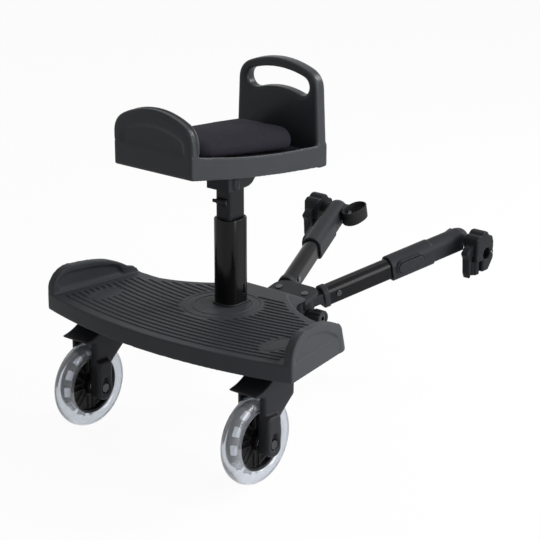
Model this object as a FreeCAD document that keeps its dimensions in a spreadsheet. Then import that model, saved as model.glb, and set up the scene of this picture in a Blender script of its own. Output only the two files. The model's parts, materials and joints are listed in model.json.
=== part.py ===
import FreeCAD, Part
import math
import os

import Sketcher

# Ride-on board that hooks behind a pushchair: a deck on two casters, a seat on a telescopic post
# and two telescopic arms that end in tube clamps.
# +Z is up, +Y points ahead to the pushchair, X runs across. The floor is at zero height.

SIZES = {
    "frame": {
        "axle_setback": 231.7,
    },
    "fits": {
        "run_fit": 0.05,
        "slide_fit": 0.15,
        "seat_fit": 0.05,
        "moving_gap": 0.4,
        "overrun": 2.0,
    },
    "wheels": {
        "caster_inset": 66.0,
        "wheel_radius": 60.0,
        "tyre_width": 24.0,
        "tyre_crown": 12.0,
        "rim_radius": 41.5,
        "rim_wall": 4.5,
        "rim_width": 19.0,
        "hub_radius": 14.0,
        "hub_length": 27.0,
        "spoke_thick": 2.6,
        "spoke_spread": 9.0,
        "spoke_depth": 7.0,
        "rim_web": 2.0,
        "bearing_radius": 11.0,
        "bearing_width": 7.0,
        "axle_radius": 4.0,
        "light_length": 11.0,
        "light_width": 6.0,
        "light_depth": 4.0,
        "channel_width": 14.0,
        "channel_depth": 5.0,
    },
    "casters": {
        "fork_gap": 29.0,
        "fork_half": 25.0,
        "far_fork_half": 21.5,
        "boss_reach": 33.0,
        "far_boss_reach": 26.0,
        "caster_trail": 17.0,
        "leg_length": 58.0,
        "leg_rear": 10.0,
        "leg_drop": 17.0,
        "boss_width": 26.0,
        "boss_height": 56.0,
        "boss_round": 2.0,
        "crown_low": 124.0,
        "crown_high": 150.0,
        "crown_length": 78.0,
        "fender_reach": 27.0,
        "recess_radius": 7.5,
        "recess_depth": 5.5,
        "keyhole_radius": 4.5,
        "keyhole_rise": 10.5,
        "nut_radius": 6.6,
        "nut_thick": 4.0,
        "stem_radius": 6.0,
        "stem_seat": 12.0,
        "stem_rise": 21.0,
        "bush_radius": 9.0,
        "bush_flange_radius": 13.0,
        "socket_radius": 15.0,
    },
    "deck": {
        "deck_top": 176.0,
        "deck_skirt": 23.5,
        "deck_wall": 4.0,
        "deck_plate": 4.0,
        "deck_half": 213.0,
        "deck_front_half": 193.0,
        "rear_bow": 32.0,
        "corner_back": 8.0,
        "side_front": 124.0,
        "corner_run": 14.0,
        "corner_half": 178.0,
        "corner_ahead": 138.0,
        "corner_bulge": 4.0,
        "shoulder_half": 141.0,
        "shoulder_ahead": 136.0,
        "waist_half": 85.0,
        "waist_ahead": 158.0,
        "nose_half": 39.0,
        "nose_root": 198.0,
        "nose_ahead": 242.0,
        "nose_drop": 22.0,
        "nose_solid": 12.0,
        "ridge_pitch": 9.7,
        "ridge_width": 4.6,
        "ridge_height": 1.2,
        "ridge_margin": 15.0,
        "disc_radius": 56.0,
        "disc_setback": 17.0,
        "badge_half_length": 30.0,
        "badge_half_width": 15.0,
        "badge_across": 150.0,
        "badge_ahead": 42.0,
        "rib_thick": 3.0,
        "rib_across": 78.0,
    },
    "kick plates": {
        "kick_height": 58.0,
        "kick_thick": 13.0,
        "kick_recess": 2.6,
        "kick_border": 9.0,
        "kick_overhang": 16.0,
    },
    "front pivot": {
        "pivot_lead": 15.0,
        "pivot_height": 126.0,
        "pivot_radius": 5.0,
        "nose_gap_radius": 36.0,
        "ear_inner": 28.2,
        "ear_thick": 10.0,
        "ear_radius": 8.6,
        "ear_drop": 3.0,
        "ear_bury": 2.0,
        "sleeve_end": 54.0,
        "sleeve_radius": 10.5,
        "sleeve_rib": 0.9,
        "bolt_head_radius": 7.0,
        "bolt_head_thick": 5.0,
        "bolt_socket_radius": 3.4,
    },
    "arm hub": {
        "hub_half": 38.0,
        "hub_core_half": 27.8,
        "hub_back": 15.0,
        "hub_fore": 26.0,
        "hub_top": 156.0,
        "hub_plate": 6.0,
        "hub_corner": 18.0,
        "hub_bottom": 112.0,
        "pin_half": 22.7,
        "pin_lead": 4.0,
        "pin_radius": 4.0,
        "pin_head_radius": 5.0,
        "pin_head_thick": 1.4,
        "tongue_low": 135.4,
        "tongue_thick": 14.0,
        "tongue_gap": 0.4,
        "eye_radius": 11.5,
        "web_half": 8.0,
        "slot_back": 8.4,
        "arm_rise": 12.0,
        "arm_splay": 19.4,
    },
    "arms": {
        "tube_width": 22.0,
        "tube_height": 28.0,
        "tube_wall": 1.8,
        "tube_corner": 3.0,
        "tube_start": 33.0,
        "tube_end": 195.0,
        "plug_length": 26.0,
        "collar_length": 9.0,
        "collar_wall": 1.6,
        "rivet_along": 48.0,
        "rivet_radius": 2.5,
        "rivet_head_radius": 4.2,
        "rivet_head_thick": 1.4,
    },
    "sleeves": {
        "sleeve_start": 138.0,
        "sleeve_length": 71.0,
        "sleeve_width": 28.5,
        "sleeve_height": 35.0,
        "sleeve_corner": 5.0,
        "neck_width": 26.0,
        "neck_height": 32.0,
        "neck_bore_end": 240.0,
        "elbow_along": 262.0,
        "elbow_radius": 15.0,
        "stub_radius": 8.0,
        "stub_reach": 24.6,
        "spigot_radius": 4.0,
        "spigot_reach": 37.0,
        "button_along": 146.5,
        "button_length": 44.0,
        "button_height": 16.0,
        "button_thick": 3.4,
        "button_travel": 2.0,
        "button_proud": 1.2,
        "rim_border": 3.0,
        "rim_proud": 2.6,
        "lug_reach": 4.0,
        "lug_width": 17.0,
        "lug_height": 26.0,
    },
    "straps": {
        "strap_width": 20.0,
        "strap_thick": 2.0,
        "strap_length": 46.0,
        "strap_span": 28.0,
        "strap_screw_radius": 2.2,
        "strap_screw_head": 4.6,
        "strap_screw_thick": 2.4,
        "strap_screw_depth": 6.0,
    },
    "clamps": {
        "clamp_inner": 25.0,
        "clamp_width": 22.0,
        "clamp_rear": 20.0,
        "clamp_length": 41.0,
        "clamp_top": 18.5,
        "clamp_body_height": 33.5,
        "jaw_height": 24.0,
        "bore_radius": 9.5,
        "bore_ahead": 4.5,
        "hinge_ahead": 17.2,
        "hinge_pin_radius": 1.8,
        "knuckle_radius": 3.8,
        "knuckle_width": 6.4,
        "knob_radius": 8.0,
        "knob_height": 20.0,
        "knob_flute": 1.5,
        "knob_back": 13.0,
        "screw_radius": 2.5,
        "screw_rise": 9.0,
        "screw_swing": 1.9,
        "guard_width": 10.0,
        "guard_length": 17.0,
        "guard_height": 48.0,
        "guard_top": 2.0,
        "guard_inset": 5.0,
    },
    "post": {
        "post_ahead": 125.0,
        "post_across": 34.0,
        "post_along": 40.0,
        "post_corner": 10.0,
        "post_wall": 2.5,
        "post_low": 153.0,
        "post_high": 294.5,
        "post_edge": 1.2,
        "foot_border": 2.6,
        "foot_thick": 2.4,
        "socket_wall": 5.0,
        "cross_bolt_height": 162.0,
        "cross_bolt_radius": 3.0,
        "cross_head_radius": 5.2,
        "cross_head_thick": 4.0,
        "lock_slot_low": 190.0,
        "lock_slot_height": 13.0,
        "lock_slot_width": 3.2,
        "lock_slot_ahead": 5.0,
        "guide_height": 34.0,
        "inner_across": 25.0,
        "inner_along": 33.5,
        "inner_corner": 5.5,
        "inner_wall": 2.5,
        "inner_low": 187.0,
        "inner_seat": 18.0,
        "tab_low": 296.0,
        "tab_height": 26.0,
        "tab_width": 18.0,
        "tab_lip": 3.4,
        "tab_lip_thick": 4.5,
        "tab_lip_reach": 2.8,
        "tab_lip_half": 11.5,
    },
    "seat": {
        "seat_rear": 22.5,
        "seat_front": 240.0,
        "seat_rear_half": 66.0,
        "seat_front_half": 72.0,
        "seat_rear_low": 387.0,
        "seat_front_low": 351.5,
        "rail_height": 31.0,
        "rail_wall": 6.0,
        "seat_wall": 4.0,
        "seat_floor": 4.0,
        "floor_sink": 5.0,
        "low_panel_thick": 16.0,
        "low_panel_top": 466.5,
        "tall_panel_thick": 19.0,
        "tall_panel_top": 491.0,
        "panel_round": 4.0,
        "low_corner": 26.0,
        "low_bow": 110.0,
        "tall_corner": 27.0,
        "tall_bow": 130.0,
        "tall_lean_share": 0.045,
        "low_lean_share": 0.01,
        "rail_dip": 7.5,
        "skirt_sag": 4.0,
        "slot_half": 53.0,
        "slot_drop": 26.0,
        "slot_height": 26.0,
        "slot_bow": 125.0,
        "emboss_depth": 1.4,
        "emboss_border": 13.0,
        "head_low": 336.0,
        "head_half": 19.0,
        "head_rear": 25.0,
        "head_front": 32.0,
        "head_round": 21.0,
        "seat_screw_radius": 2.2,
        "seat_screw_head": 4.2,
        "seat_screw_thick": 2.0,
        "seat_screw_inset": 6.5,
        "cushion_half": 53.0,
        "cushion_rear": 4.0,
        "cushion_front": 208.0,
        "cushion_thick": 27.0,
        "cushion_corner": 26.0,
        "cushion_tuck": 4.0,
        "cushion_crown": 13.0,
        "cushion_lift": 0.4,
        "cushion_wedge": 3.0,
    },
}

SPOKE_PAIRS = 8
LIGHT_COUNT = 12
RIDGE_COUNT = 18
SLEEVE_RIBS = 14
KNOB_FLUTES = 8
BOTH_SIDES = (1, -1)

# Outlines in shares of the piece's own length and height: a corner, or an arc's end and the point it passes.
LEG_SHARES = (
    (0.0, 1.0),
    (0.0, 0.12),
    (0.41, 0.12, 0.205, 0.0),
    (0.43, 0.50),
    (1.0, 0.84, 0.63, 0.63),
    (1.0, 1.0),
)
BOSS_SHARES = (
    (0.1, 1.0),
    (0.0, 0.92),
    (0.0, 0.16),
    (1.0, 0.16, 0.5, 0.0),
    (1.0, 0.92),
    (0.9, 1.0),
)
CROWN_SHARES = (
    (0.0, 0.17),
    (0.0, 0.28),
    (0.52, 1.0, 0.28, 0.50),
    (0.90, 1.0),
    (1.0, 0.55, 0.975, 0.87),
    (0.96, 0.0),
    (0.23, 0.0),
)
KICK_SHARES = (
    (0.0, 0.0),
    (0.0, 0.55),
    (0.27, 1.0, 0.072, 0.87),
    (0.78, 0.80, 0.55, 0.94),
    (1.0, 0.43, 0.915, 0.645),
    (1.0, 0.0),
)
KICK_PANEL_SHARES = (
    (0.03, 0.0),
    (0.0, 0.55),
    (0.28, 1.0, 0.08, 0.86),
    (0.94, 0.58, 0.64, 0.88),
    (1.0, 0.0),
)
HUB_SHARES = (
    (0.0, 1.0),
    (0.0, 0.60),
    (0.10, 0.18),
    (0.58, 0.10, 0.31, 0.0),
    (0.92, 0.50),
    (1.0, 0.62),
    (1.0, 1.0),
)
CLAMP_BODY_SHARES = (
    (0.0, 0.0),
    (0.0, 0.74),
    (0.12, 0.86),
    (0.28, 0.86),
    (0.68, 0.86, 0.48, 1.0),
    (0.76, 0.74),
    (0.92, 0.70),
    (1.0, 0.42),
    (0.97, 0.0),
)
JAW_SHARES = (
    (0.0, 1.0),
    (0.97, 1.0),
    (1.0, 0.80),
    (0.98, 0.60),
    (0.70, 0.0),
    (0.375, 0.0),
    (0.375, 0.72),
    (0.0, 0.72),
)
GUARD_SHARES = (
    (1.0, 1.0),
    (0.45, 0.92),
    (0.0, 0.78),
    (0.25, 0.62),
    (0.32, 0.16),
    (0.50, 0.0),
    (0.68, 0.16),
    (0.72, 0.62),
    (1.0, 0.70),
)
# Levels of the cushion from its base to its top, as shares of its tuck, crown and thickness.
CUSHION_LEVEL_SHARES = (
    (1.0, 0.0, 0.0),
    (0.0, 0.0, 0.36),
    (0.3, 0.16, 0.72),
    (0.8, 0.62, 0.93),
    (0.6, 1.6, 1.0),
)
STRAP_CORNER_SHARE = 0.46
DIAGONAL_SHARE = math.sqrt(0.5)

Vector = FreeCAD.Vector
doc = FreeCAD.newDocument("buggy_board")
kept = {}


class Size:
    """A size's value together with the sheet expression that gives it."""

    def __init__(self, value, text):
        self.value = value
        self.text = text

    def __add__(self, other):
        other = as_size(other)
        return Size(self.value + other.value, f"({self.text} + {other.text})")

    def __sub__(self, other):
        other = as_size(other)
        return Size(self.value - other.value, f"({self.text} - {other.text})")

    def __mul__(self, other):
        other = as_size(other)
        return Size(self.value * other.value, f"({self.text} * {other.text})")

    def __truediv__(self, other):
        other = as_size(other)
        return Size(self.value / other.value, f"({self.text} / {other.text})")

    def __neg__(self):
        return Size(-self.value, f"(0 - {self.text})")


def as_size(item):
    if isinstance(item, Size):
        return item
    return Size(float(item), f"{float(item):.9f}")


def root(size):
    return Size(math.sqrt(size.value), f"sqrt({size.text})")


class NamedSizes:
    """The sheet's sizes, each under its own name."""


def make_sheet():
    sheet = doc.addObject("Spreadsheet::Sheet", "Sizes")
    row = 0
    for group, sizes in SIZES.items():
        row += 1
        sheet.set(f"A{row}", group)
        for name, value in sizes.items():
            row += 1
            sheet.set(f"A{row}", name)
            sheet.set(f"B{row}", str(value))
            sheet.setAlias(f"B{row}", name)
    doc.recompute()
    named = NamedSizes()
    for sizes in SIZES.values():
        for name in sizes:
            setattr(named, name, Size(float(getattr(sheet, name)), f"Sizes.{name}"))
    return named


s = make_sheet()
zero = as_size(0)


def ahead(distance):
    """Place along Y of a point that lies this far ahead of the wheel axles."""
    return distance - s.axle_setback


axle_y = ahead(zero)
track_half = s.deck_half - s.caster_inset


def bind(item, field, size):
    item.setExpression(field, as_size(size).text)


def move_to(item, x, y, z):
    for letter, place in zip("xyz", (x, y, z)):
        bind(item, f"Placement.Base.{letter}", place)


def keep(name, item):
    item.Label = name
    kept[name] = item
    return item


# Simple solids

TURNS = {
    "X": FreeCAD.Rotation(Vector(0, 1, 0), 90),
    "Y": FreeCAD.Rotation(Vector(1, 0, 0), -90),
    "Z": FreeCAD.Rotation(),
}


def block(x, y, z):
    """Box between two places along each axis."""
    box = doc.addObject("Part::Box", "block")
    bind(box, "Length", as_size(x[1]) - x[0])
    bind(box, "Width", as_size(y[1]) - y[0])
    bind(box, "Height", as_size(z[1]) - z[0])
    move_to(box, x[0], y[0], z[0])
    return box


def rod(axis, radius, start, end, at):
    """Round bar along an axis, between two places on it; at gives the other two places in XYZ order."""
    bar = doc.addObject("Part::Cylinder", "rod")
    bind(bar, "Radius", radius)
    bind(bar, "Height", as_size(end) - start)
    bar.Placement = FreeCAD.Placement(Vector(), TURNS[axis])
    base = list(at)
    base.insert("XYZ".index(axis), start)
    move_to(bar, *base)
    return bar


def hexagon(axis, radius, start, end, at):
    bar = doc.addObject("Part::Prism", "hexagon")
    bar.Polygon = 6
    bind(bar, "Circumradius", radius)
    bind(bar, "Height", as_size(end) - start)
    bar.Placement = FreeCAD.Placement(Vector(), TURNS[axis])
    base = list(at)
    base.insert("XYZ".index(axis), start)
    move_to(bar, *base)
    return bar


def ball(radius, x, y, z):
    sphere = doc.addObject("Part::Sphere", "ball")
    bind(sphere, "Radius", radius)
    move_to(sphere, x, y, z)
    return sphere


def fuse(*items):
    joined = doc.addObject("Part::MultiFuse", "joined")
    joined.Shapes = list(items)
    joined.Refine = True
    return joined


def cut(base, *tools):
    result = doc.addObject("Part::Cut", "cut")
    result.Base = base
    result.Tool = tools[0] if len(tools) == 1 else fuse(*tools)
    result.Refine = True
    return result


def common(*items):
    shared = doc.addObject("Part::MultiCommon", "shared")
    shared.Shapes = list(items)
    return shared


def group(*items):
    """Separate solids that make up one node."""
    bundle = doc.addObject("Part::Compound", "bundle")
    bundle.Links = list(items)
    return bundle


def carried(item, placement):
    """Carry a finished piece to another place as a whole."""
    bundle = group(item)
    bundle.Placement = placement
    return bundle


def mirrored(item):
    twin = doc.addObject("Part::Mirroring", "twin")
    twin.Source = item
    twin.Normal = Vector(1, 0, 0)
    return twin


def keep_pair(name, item):
    """Keep a right-hand piece and its left-hand mirror image."""
    keep(f"{name}_right", item)
    keep(f"{name}_left", mirrored(item))


# Outlines and what is made from them

def flat(a, b):
    return Vector(as_size(a).value, as_size(b).value, 0)


def in_box(shares, left, low, width, height):
    """Outline points from shares of a width and a height."""
    points = []
    for row in shares:
        places = []
        for index, share in enumerate(row):
            if index % 2 == 0:
                places.append(as_size(left) + as_size(width) * share)
            else:
                places.append(as_size(low) + as_size(height) * share)
        points.append(tuple(places))
    return points


def round_box(a, b, half_a, half_b, corner):
    """Rectangle with round corners about a centre."""
    inset = corner * (1 - DIAGONAL_SHARE)
    points = []
    for side_a, side_b in ((1, -1), (1, 1), (-1, 1), (-1, -1)):
        far_a = half_a * side_a + a
        far_b = half_b * side_b + b
        on_a = (far_a, far_b - corner * side_b)
        on_b = (far_a - corner * side_a, far_b)
        through = (far_a - inset * side_a, far_b - inset * side_b)
        first, last = (on_b, on_a) if side_a != side_b else (on_a, on_b)
        points.append(first)
        points.append(last + through)
    return points


def arch(half, low, top, corner, bow, lean):
    """Leaning sides, round shoulders and a bowed top, each running smoothly into the next."""
    upright = as_size(1) / root(lean * lean + 1)
    aside = lean * upright
    inner = bow - corner
    level = top - bow
    ratio = (half * upright + (low - level) * aside - corner) / inner
    rest = root(as_size(1) - ratio * ratio)
    turn_x = ratio * upright - rest * aside
    turn_z = rest * upright + ratio * aside
    centre = (inner * turn_x, level + inner * turn_z)
    side = (centre[0] + corner * upright, centre[1] + corner * aside)
    meet = (bow * turn_x, level + bow * turn_z)
    reach = root((upright + turn_x) * (upright + turn_x) + (aside + turn_z) * (aside + turn_z))
    through = (centre[0] + corner * (upright + turn_x) / reach, centre[1] + corner * (aside + turn_z) / reach)
    return [
        (half, low),
        side,
        meet + through,
        (-meet[0], meet[1], zero, top),
        (-side[0], side[1], -through[0], through[1]),
        (-half, low),
    ]


def curved_slot(middle, half_length, half_height, bow):
    """Round-ended slot along a bowed centre line whose crest is at a given height."""
    across = half_length - half_height
    rise = root(bow * bow - across * across)
    level = middle - bow
    wide = (bow + half_height) / bow
    narrow = (bow - half_height) / bow
    end_x = across + rise * (half_height / bow)
    end_z = level + rise - across * (half_height / bow)
    high = (across * wide, level + rise * wide)
    low = (across * narrow, level + rise * narrow)
    return [
        (low[0], low[1], zero, middle - half_height),
        high + (end_x, end_z),
        (-high[0], high[1], zero, middle + half_height),
        (-low[0], low[1], -end_x, end_z),
    ]


def new_sketch(body, plane, level):
    sketch = body.newObject("Sketcher::SketchObject", f"{body.Name}_sketch")
    role = f"{plane}_Plane"
    support = [item for item in body.Origin.OriginFeatures if item.Role == role]
    sketch.AttachmentSupport = [(support[0], "")]
    sketch.MapMode = "FlatFace"
    bind(sketch, "AttachmentOffset.Base.z", level)
    return sketch


def pin_point(sketch, edge, end, a, b):
    for kind, place in (("DistanceX", a), ("DistanceY", b)):
        value = as_size(place).value
        index = sketch.addConstraint(Sketcher.Constraint(kind, -1, 1, edge, end, value))
        bind(sketch, f"Constraints[{index}]", place)


def draw_outline(sketch, points):
    """Closed line of straight edges and arcs through given points."""
    edges = []
    for index, point in enumerate(points):
        start = flat(*points[index - 1][:2])
        finish = flat(*point[:2])
        if len(point) > 2:
            curve = Part.Arc(start, flat(*point[2:]), finish)
        else:
            curve = Part.LineSegment(start, finish)
        edge = sketch.addGeometry(curve, False)
        near, far = (sketch.getPoint(edge, end).distanceToPoint(start) for end in (1, 2))
        swapped = near > far
        edges.append((edge, 2, 1) if swapped else (edge, 1, 2))
    for index, point in enumerate(points):
        edge, first, last = edges[index]
        following = edges[(index + 1) % len(points)]
        sketch.addConstraint(Sketcher.Constraint("Coincident", edge, last, following[0], following[1]))
        pin_point(sketch, edge, last, *point[:2])
        if len(point) > 2:
            through = sketch.addGeometry(Part.Point(flat(*point[2:])), True)
            pin_point(sketch, through, 1, *point[2:])
            sketch.addConstraint(Sketcher.Constraint("PointOnObject", through, 1, edge))


def padded(plane, points, low, high, holes=()):
    """Solid of an outline, less any holes, between two places along the plane's normal axis."""
    body = doc.addObject("PartDesign::Body", "body")
    low = as_size(low)
    high = as_size(high)
    sketch = new_sketch(body, plane, -high if plane == "XZ" else low)
    for outline in (points, *holes):
        draw_outline(sketch, outline)
    pad = body.newObject("PartDesign::Pad", "pad")
    pad.Profile = sketch
    bind(pad, "Length", high - low)
    return body


def turned(points):
    """Solid of an outline, given as places along X and radii, turned round the X axis."""
    body = doc.addObject("PartDesign::Body", "body")
    sketch = new_sketch(body, "XY", zero)
    draw_outline(sketch, points)
    revolution = body.newObject("PartDesign::Revolution", "revolution")
    revolution.Profile = sketch
    revolution.ReferenceAxis = (sketch, ["H_Axis"])
    revolution.Angle = 360
    return body


def soften(body, radius, letter, place):
    """Round the edges of a body's outline that lie on one flat face."""
    doc.recompute()
    level = as_size(place).value
    base = body.Tip
    names = []
    for index, edge in enumerate(base.Shape.Edges):
        off_face = [abs(getattr(vertex.Point, letter) - level) for vertex in edge.Vertexes]
        if max(off_face) < s.run_fit.value:
            names.append(f"Edge{index + 1}")
    fillet = body.newObject("PartDesign::Fillet", "fillet")
    fillet.Base = (base, names)
    bind(fillet, "Radius", radius)
    body.Tip = fillet
    return body


# Wheels, built about the X axis and then carried to the right-hand axle

def at_wheel(item):
    move_to(item, track_half, axle_y, s.wheel_radius)
    return item


def wheel_tyre():
    half = s.tyre_width / 2
    inside = s.rim_radius + s.seat_fit
    shoulder = s.wheel_radius - s.tyre_crown
    channel = s.channel_width / 2
    deep = inside + s.channel_depth
    return turned([
        (-half, inside),
        (-half, shoulder),
        (half, shoulder, zero, s.wheel_radius),
        (half, inside),
        (channel, inside),
        (channel, deep),
        (-channel, deep),
        (-channel, inside),
    ])


def wheel_rim():
    """Spoked rim: pairs of thin spokes repeated round the hub, on a thin web that closes the wheel."""
    body = doc.addObject("PartDesign::Body", "body")
    hub = new_sketch(body, "YZ", -s.hub_length / 2)
    add_circle(hub, s.hub_radius)
    pad_on(body, hub, s.hub_length)
    spokes = new_sketch(body, "YZ", -s.spoke_depth / 2)
    low = s.hub_radius / 2
    high = s.rim_radius - s.rim_wall / 2
    for side in BOTH_SIDES:
        middle = s.spoke_spread / 2 * side
        near = middle - s.spoke_thick / 2
        far = middle + s.spoke_thick / 2
        draw_outline(spokes, [(near, low), (far, low), (far, high), (near, high)])
    spoke_pad = pad_on(body, spokes, s.spoke_depth)
    pattern = body.newObject("PartDesign::PolarPattern", "spoke_pattern")
    pattern.Originals = [spoke_pad]
    pattern.Axis = (spokes, ["N_Axis"])
    pattern.Angle = 360
    pattern.Occurrences = SPOKE_PAIRS
    body.Tip = pattern
    web = new_sketch(body, "YZ", -s.rim_web / 2)
    add_circle(web, high)
    pad_on(body, web, s.rim_web)
    ring = new_sketch(body, "YZ", -s.rim_width / 2)
    add_circle(ring, s.rim_radius)
    add_circle(ring, s.rim_radius - s.rim_wall)
    pad_on(body, ring, s.rim_width)
    seat = s.bearing_radius + s.seat_fit
    end = s.hub_length / 2
    bores = [rod("X", s.axle_radius * 2, -end, end, (zero, zero))]
    bores.append(rod("X", seat, end - s.bearing_width, end + s.overrun, (zero, zero)))
    bores.append(rod("X", seat, -end - s.overrun, s.bearing_width - end, (zero, zero)))
    return cut(body, *bores)


def add_circle(sketch, radius):
    circle = sketch.addGeometry(Part.Circle(Vector(), Vector(0, 0, 1), radius.value), False)
    sketch.addConstraint(Sketcher.Constraint("Coincident", circle, 3, -1, 1))
    index = sketch.addConstraint(Sketcher.Constraint("Radius", circle, radius.value))
    bind(sketch, f"Constraints[{index}]", radius)


def pad_on(body, sketch, length):
    pad = body.newObject("PartDesign::Pad", "pad")
    pad.Profile = sketch
    bind(pad, "Length", length)
    body.Tip = pad
    return pad


def wheel_lights():
    """Small light units standing round the rim, inside the clear tyre."""
    units = []
    near = s.rim_radius + s.seat_fit
    for index in range(LIGHT_COUNT):
        turn = 2 * math.pi * index / LIGHT_COUNT
        half_width = s.light_width / 2
        half_length = s.light_length / 2
        unit = block((-half_width, half_width), (-half_length, half_length), (near, near + s.light_depth))
        unit.Placement = FreeCAD.Placement(Vector(), FreeCAD.Rotation(Vector(1, 0, 0), math.degrees(turn)))
        sideways = -half_length * math.cos(turn) - near * math.sin(turn)
        upwards = -half_length * math.sin(turn) + near * math.cos(turn)
        move_to(unit, -half_width, sideways, upwards)
        units.append(unit)
    cradle = rod("X", near, -half_width, half_width, (zero, zero))
    return cut(group(*units), cradle)


def wheel_bearings():
    end = s.hub_length / 2
    rings = []
    for start in (-end, end - s.bearing_width):
        outer = rod("X", s.bearing_radius, start, start + s.bearing_width, (zero, zero))
        bore_start = start - s.overrun
        bore_end = start + s.bearing_width + s.overrun
        rings.append(cut(outer, rod("X", s.axle_radius + s.run_fit, bore_start, bore_end, (zero, zero))))
    return group(*rings)


def keep_casters(name, item):
    """Keep a piece of the right-hand caster and its copy on the left; the two casters are alike."""
    keep(f"{name}_right", item)
    shift = Vector(-2 * track_half.value, 0, 0)
    keep(f"{name}_left", carried(item, FreeCAD.Placement(shift, FreeCAD.Rotation())))


keep_casters("tyre", at_wheel(wheel_tyre()))
keep_casters("wheel_rim", at_wheel(wheel_rim()))
keep_casters("light_units", at_wheel(wheel_lights()))
keep_casters("wheel_bearings", at_wheel(wheel_bearings()))


# Caster forks

caster_y = axle_y + s.caster_trail
near_face = track_half + s.boss_reach
far_face = track_half - s.far_boss_reach
axle_at = (axle_y, s.wheel_radius)


def caster_fork():
    """Two legs under a crown that runs back into a short fender."""
    foot = s.wheel_radius - s.leg_drop
    leg_height = s.crown_low - foot + s.overrun
    legs = in_box(LEG_SHARES, axle_y - s.leg_rear, foot, s.leg_length, leg_height)
    bosses = in_box(BOSS_SHARES, axle_y - s.boss_width / 2, foot, s.boss_width, s.boss_height)
    rear = axle_y - s.fender_reach
    crown = in_box(CROWN_SHARES, rear, s.crown_low, s.crown_length, s.crown_high - s.crown_low)
    middle = track_half
    pieces = [padded("YZ", crown, middle - s.far_fork_half, middle + s.fork_half)]
    far_end = far_face - s.overrun
    tools = [rod("X", s.axle_radius + s.seat_fit, far_end, near_face + s.overrun, axle_at)]
    for side, half, face in ((1, s.fork_half, near_face), (-1, s.far_fork_half, far_face)):
        inner = middle + s.fork_gap / 2 * side
        outer = middle + half * side
        low, high = (inner, outer) if side > 0 else (outer, inner)
        pieces.append(padded("YZ", legs, low, high))
        low, high = (inner, face) if side > 0 else (face, inner)
        pieces.append(soften(padded("YZ", bosses, low, high), s.boss_round, "x", face))
        deep = face - s.recess_depth * side
        past = face + s.overrun * side
        low, high = (deep, past) if side > 0 else (past, deep)
        upper = (axle_y, s.wheel_radius + s.keyhole_rise)
        tools.append(rod("X", s.recess_radius, low, high, axle_at))
        tools.append(rod("X", s.keyhole_radius, low, high, upper))
    stem_low = s.crown_high - s.stem_seat
    stem_bore = s.stem_radius + s.seat_fit
    tools.append(rod("Z", stem_bore, stem_low, s.crown_high + s.overrun, (middle, caster_y)))
    return cut(fuse(*pieces), *tools)


def caster_stem():
    low = s.crown_high - s.stem_seat
    return rod("Z", s.stem_radius, low, s.crown_high + s.stem_rise, (track_half, caster_y))


def axle_bolt():
    seat = near_face - s.recess_depth
    far = far_face + s.recess_depth - s.nut_thick
    shank = rod("X", s.axle_radius, far, seat, axle_at)
    return fuse(shank, hexagon("X", s.nut_radius, seat, seat + s.nut_thick, axle_at))


def axle_nut():
    seat = far_face + s.recess_depth
    nut = hexagon("X", s.nut_radius, seat - s.nut_thick, seat, axle_at)
    bore = rod("X", s.axle_radius + s.seat_fit, seat - s.nut_thick - s.overrun, seat + s.overrun, axle_at)
    return cut(nut, bore)


deck_low = s.deck_top - s.deck_skirt
deck_under = s.deck_top - s.deck_plate


def caster_bush():
    """Flanged bush between the deck's socket and the stem."""
    at = (track_half, caster_y)
    bush = rod("Z", s.bush_radius, deck_low, deck_under - s.moving_gap, at)
    flange = rod("Z", s.bush_flange_radius, s.crown_high + s.moving_gap, deck_low, at)
    bore = rod("Z", s.stem_radius + s.run_fit, s.crown_high, s.deck_top, at)
    return cut(fuse(bush, flange), bore)


keep_casters("caster_fork", caster_fork())
keep_casters("caster_stem", caster_stem())
keep_casters("axle_bolt", axle_bolt())
keep_casters("axle_nut", axle_nut())
bush = caster_bush()
keep("caster_bushes", group(bush, mirrored(bush)))


# Deck

pivot_ahead = s.nose_ahead + s.pivot_lead
pivot_at = (ahead(pivot_ahead), s.pivot_height)
post_y = ahead(s.post_ahead)


def deck_outline(inset):
    """Plan of the deck: a bowed rear edge, tapered ends and a waisted front that runs into the nose."""
    half = s.deck_half - inset
    front_half = s.deck_front_half - inset
    corner = ahead(inset - s.corner_back)
    bow = ahead(inset - s.corner_back - s.rear_bow)
    front = ahead(s.side_front - inset)
    shoulder = ahead(s.shoulder_ahead - inset)
    waist = ahead(s.waist_ahead - inset)
    root = ahead(s.nose_root - inset)
    nose = ahead(s.nose_ahead - inset)
    run = s.corner_run
    slant = (s.deck_half - s.deck_front_half) / (s.side_front + s.corner_back)
    bend = (front_half + slant * run, front - run)
    turn = (s.corner_half, ahead(s.corner_ahead - inset))
    outward = ((bend[0] + turn[0]) / 2 + s.corner_bulge, (bend[1] + turn[1]) / 2 + s.corner_bulge)
    right = [
        (half, corner, zero, bow),
        bend,
        turn + outward,
        (s.shoulder_half, shoulder),
        (s.nose_half - inset, root, s.waist_half - inset, waist),
        (s.nose_half - inset, nose),
    ]
    left = [
        (inset - s.nose_half, nose),
        (inset - s.nose_half, root),
        (-s.shoulder_half, shoulder, inset - s.waist_half, waist),
        (-turn[0], turn[1]),
        (-bend[0], bend[1], -outward[0], outward[1]),
        (-half, corner),
    ]
    return right + left


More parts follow.
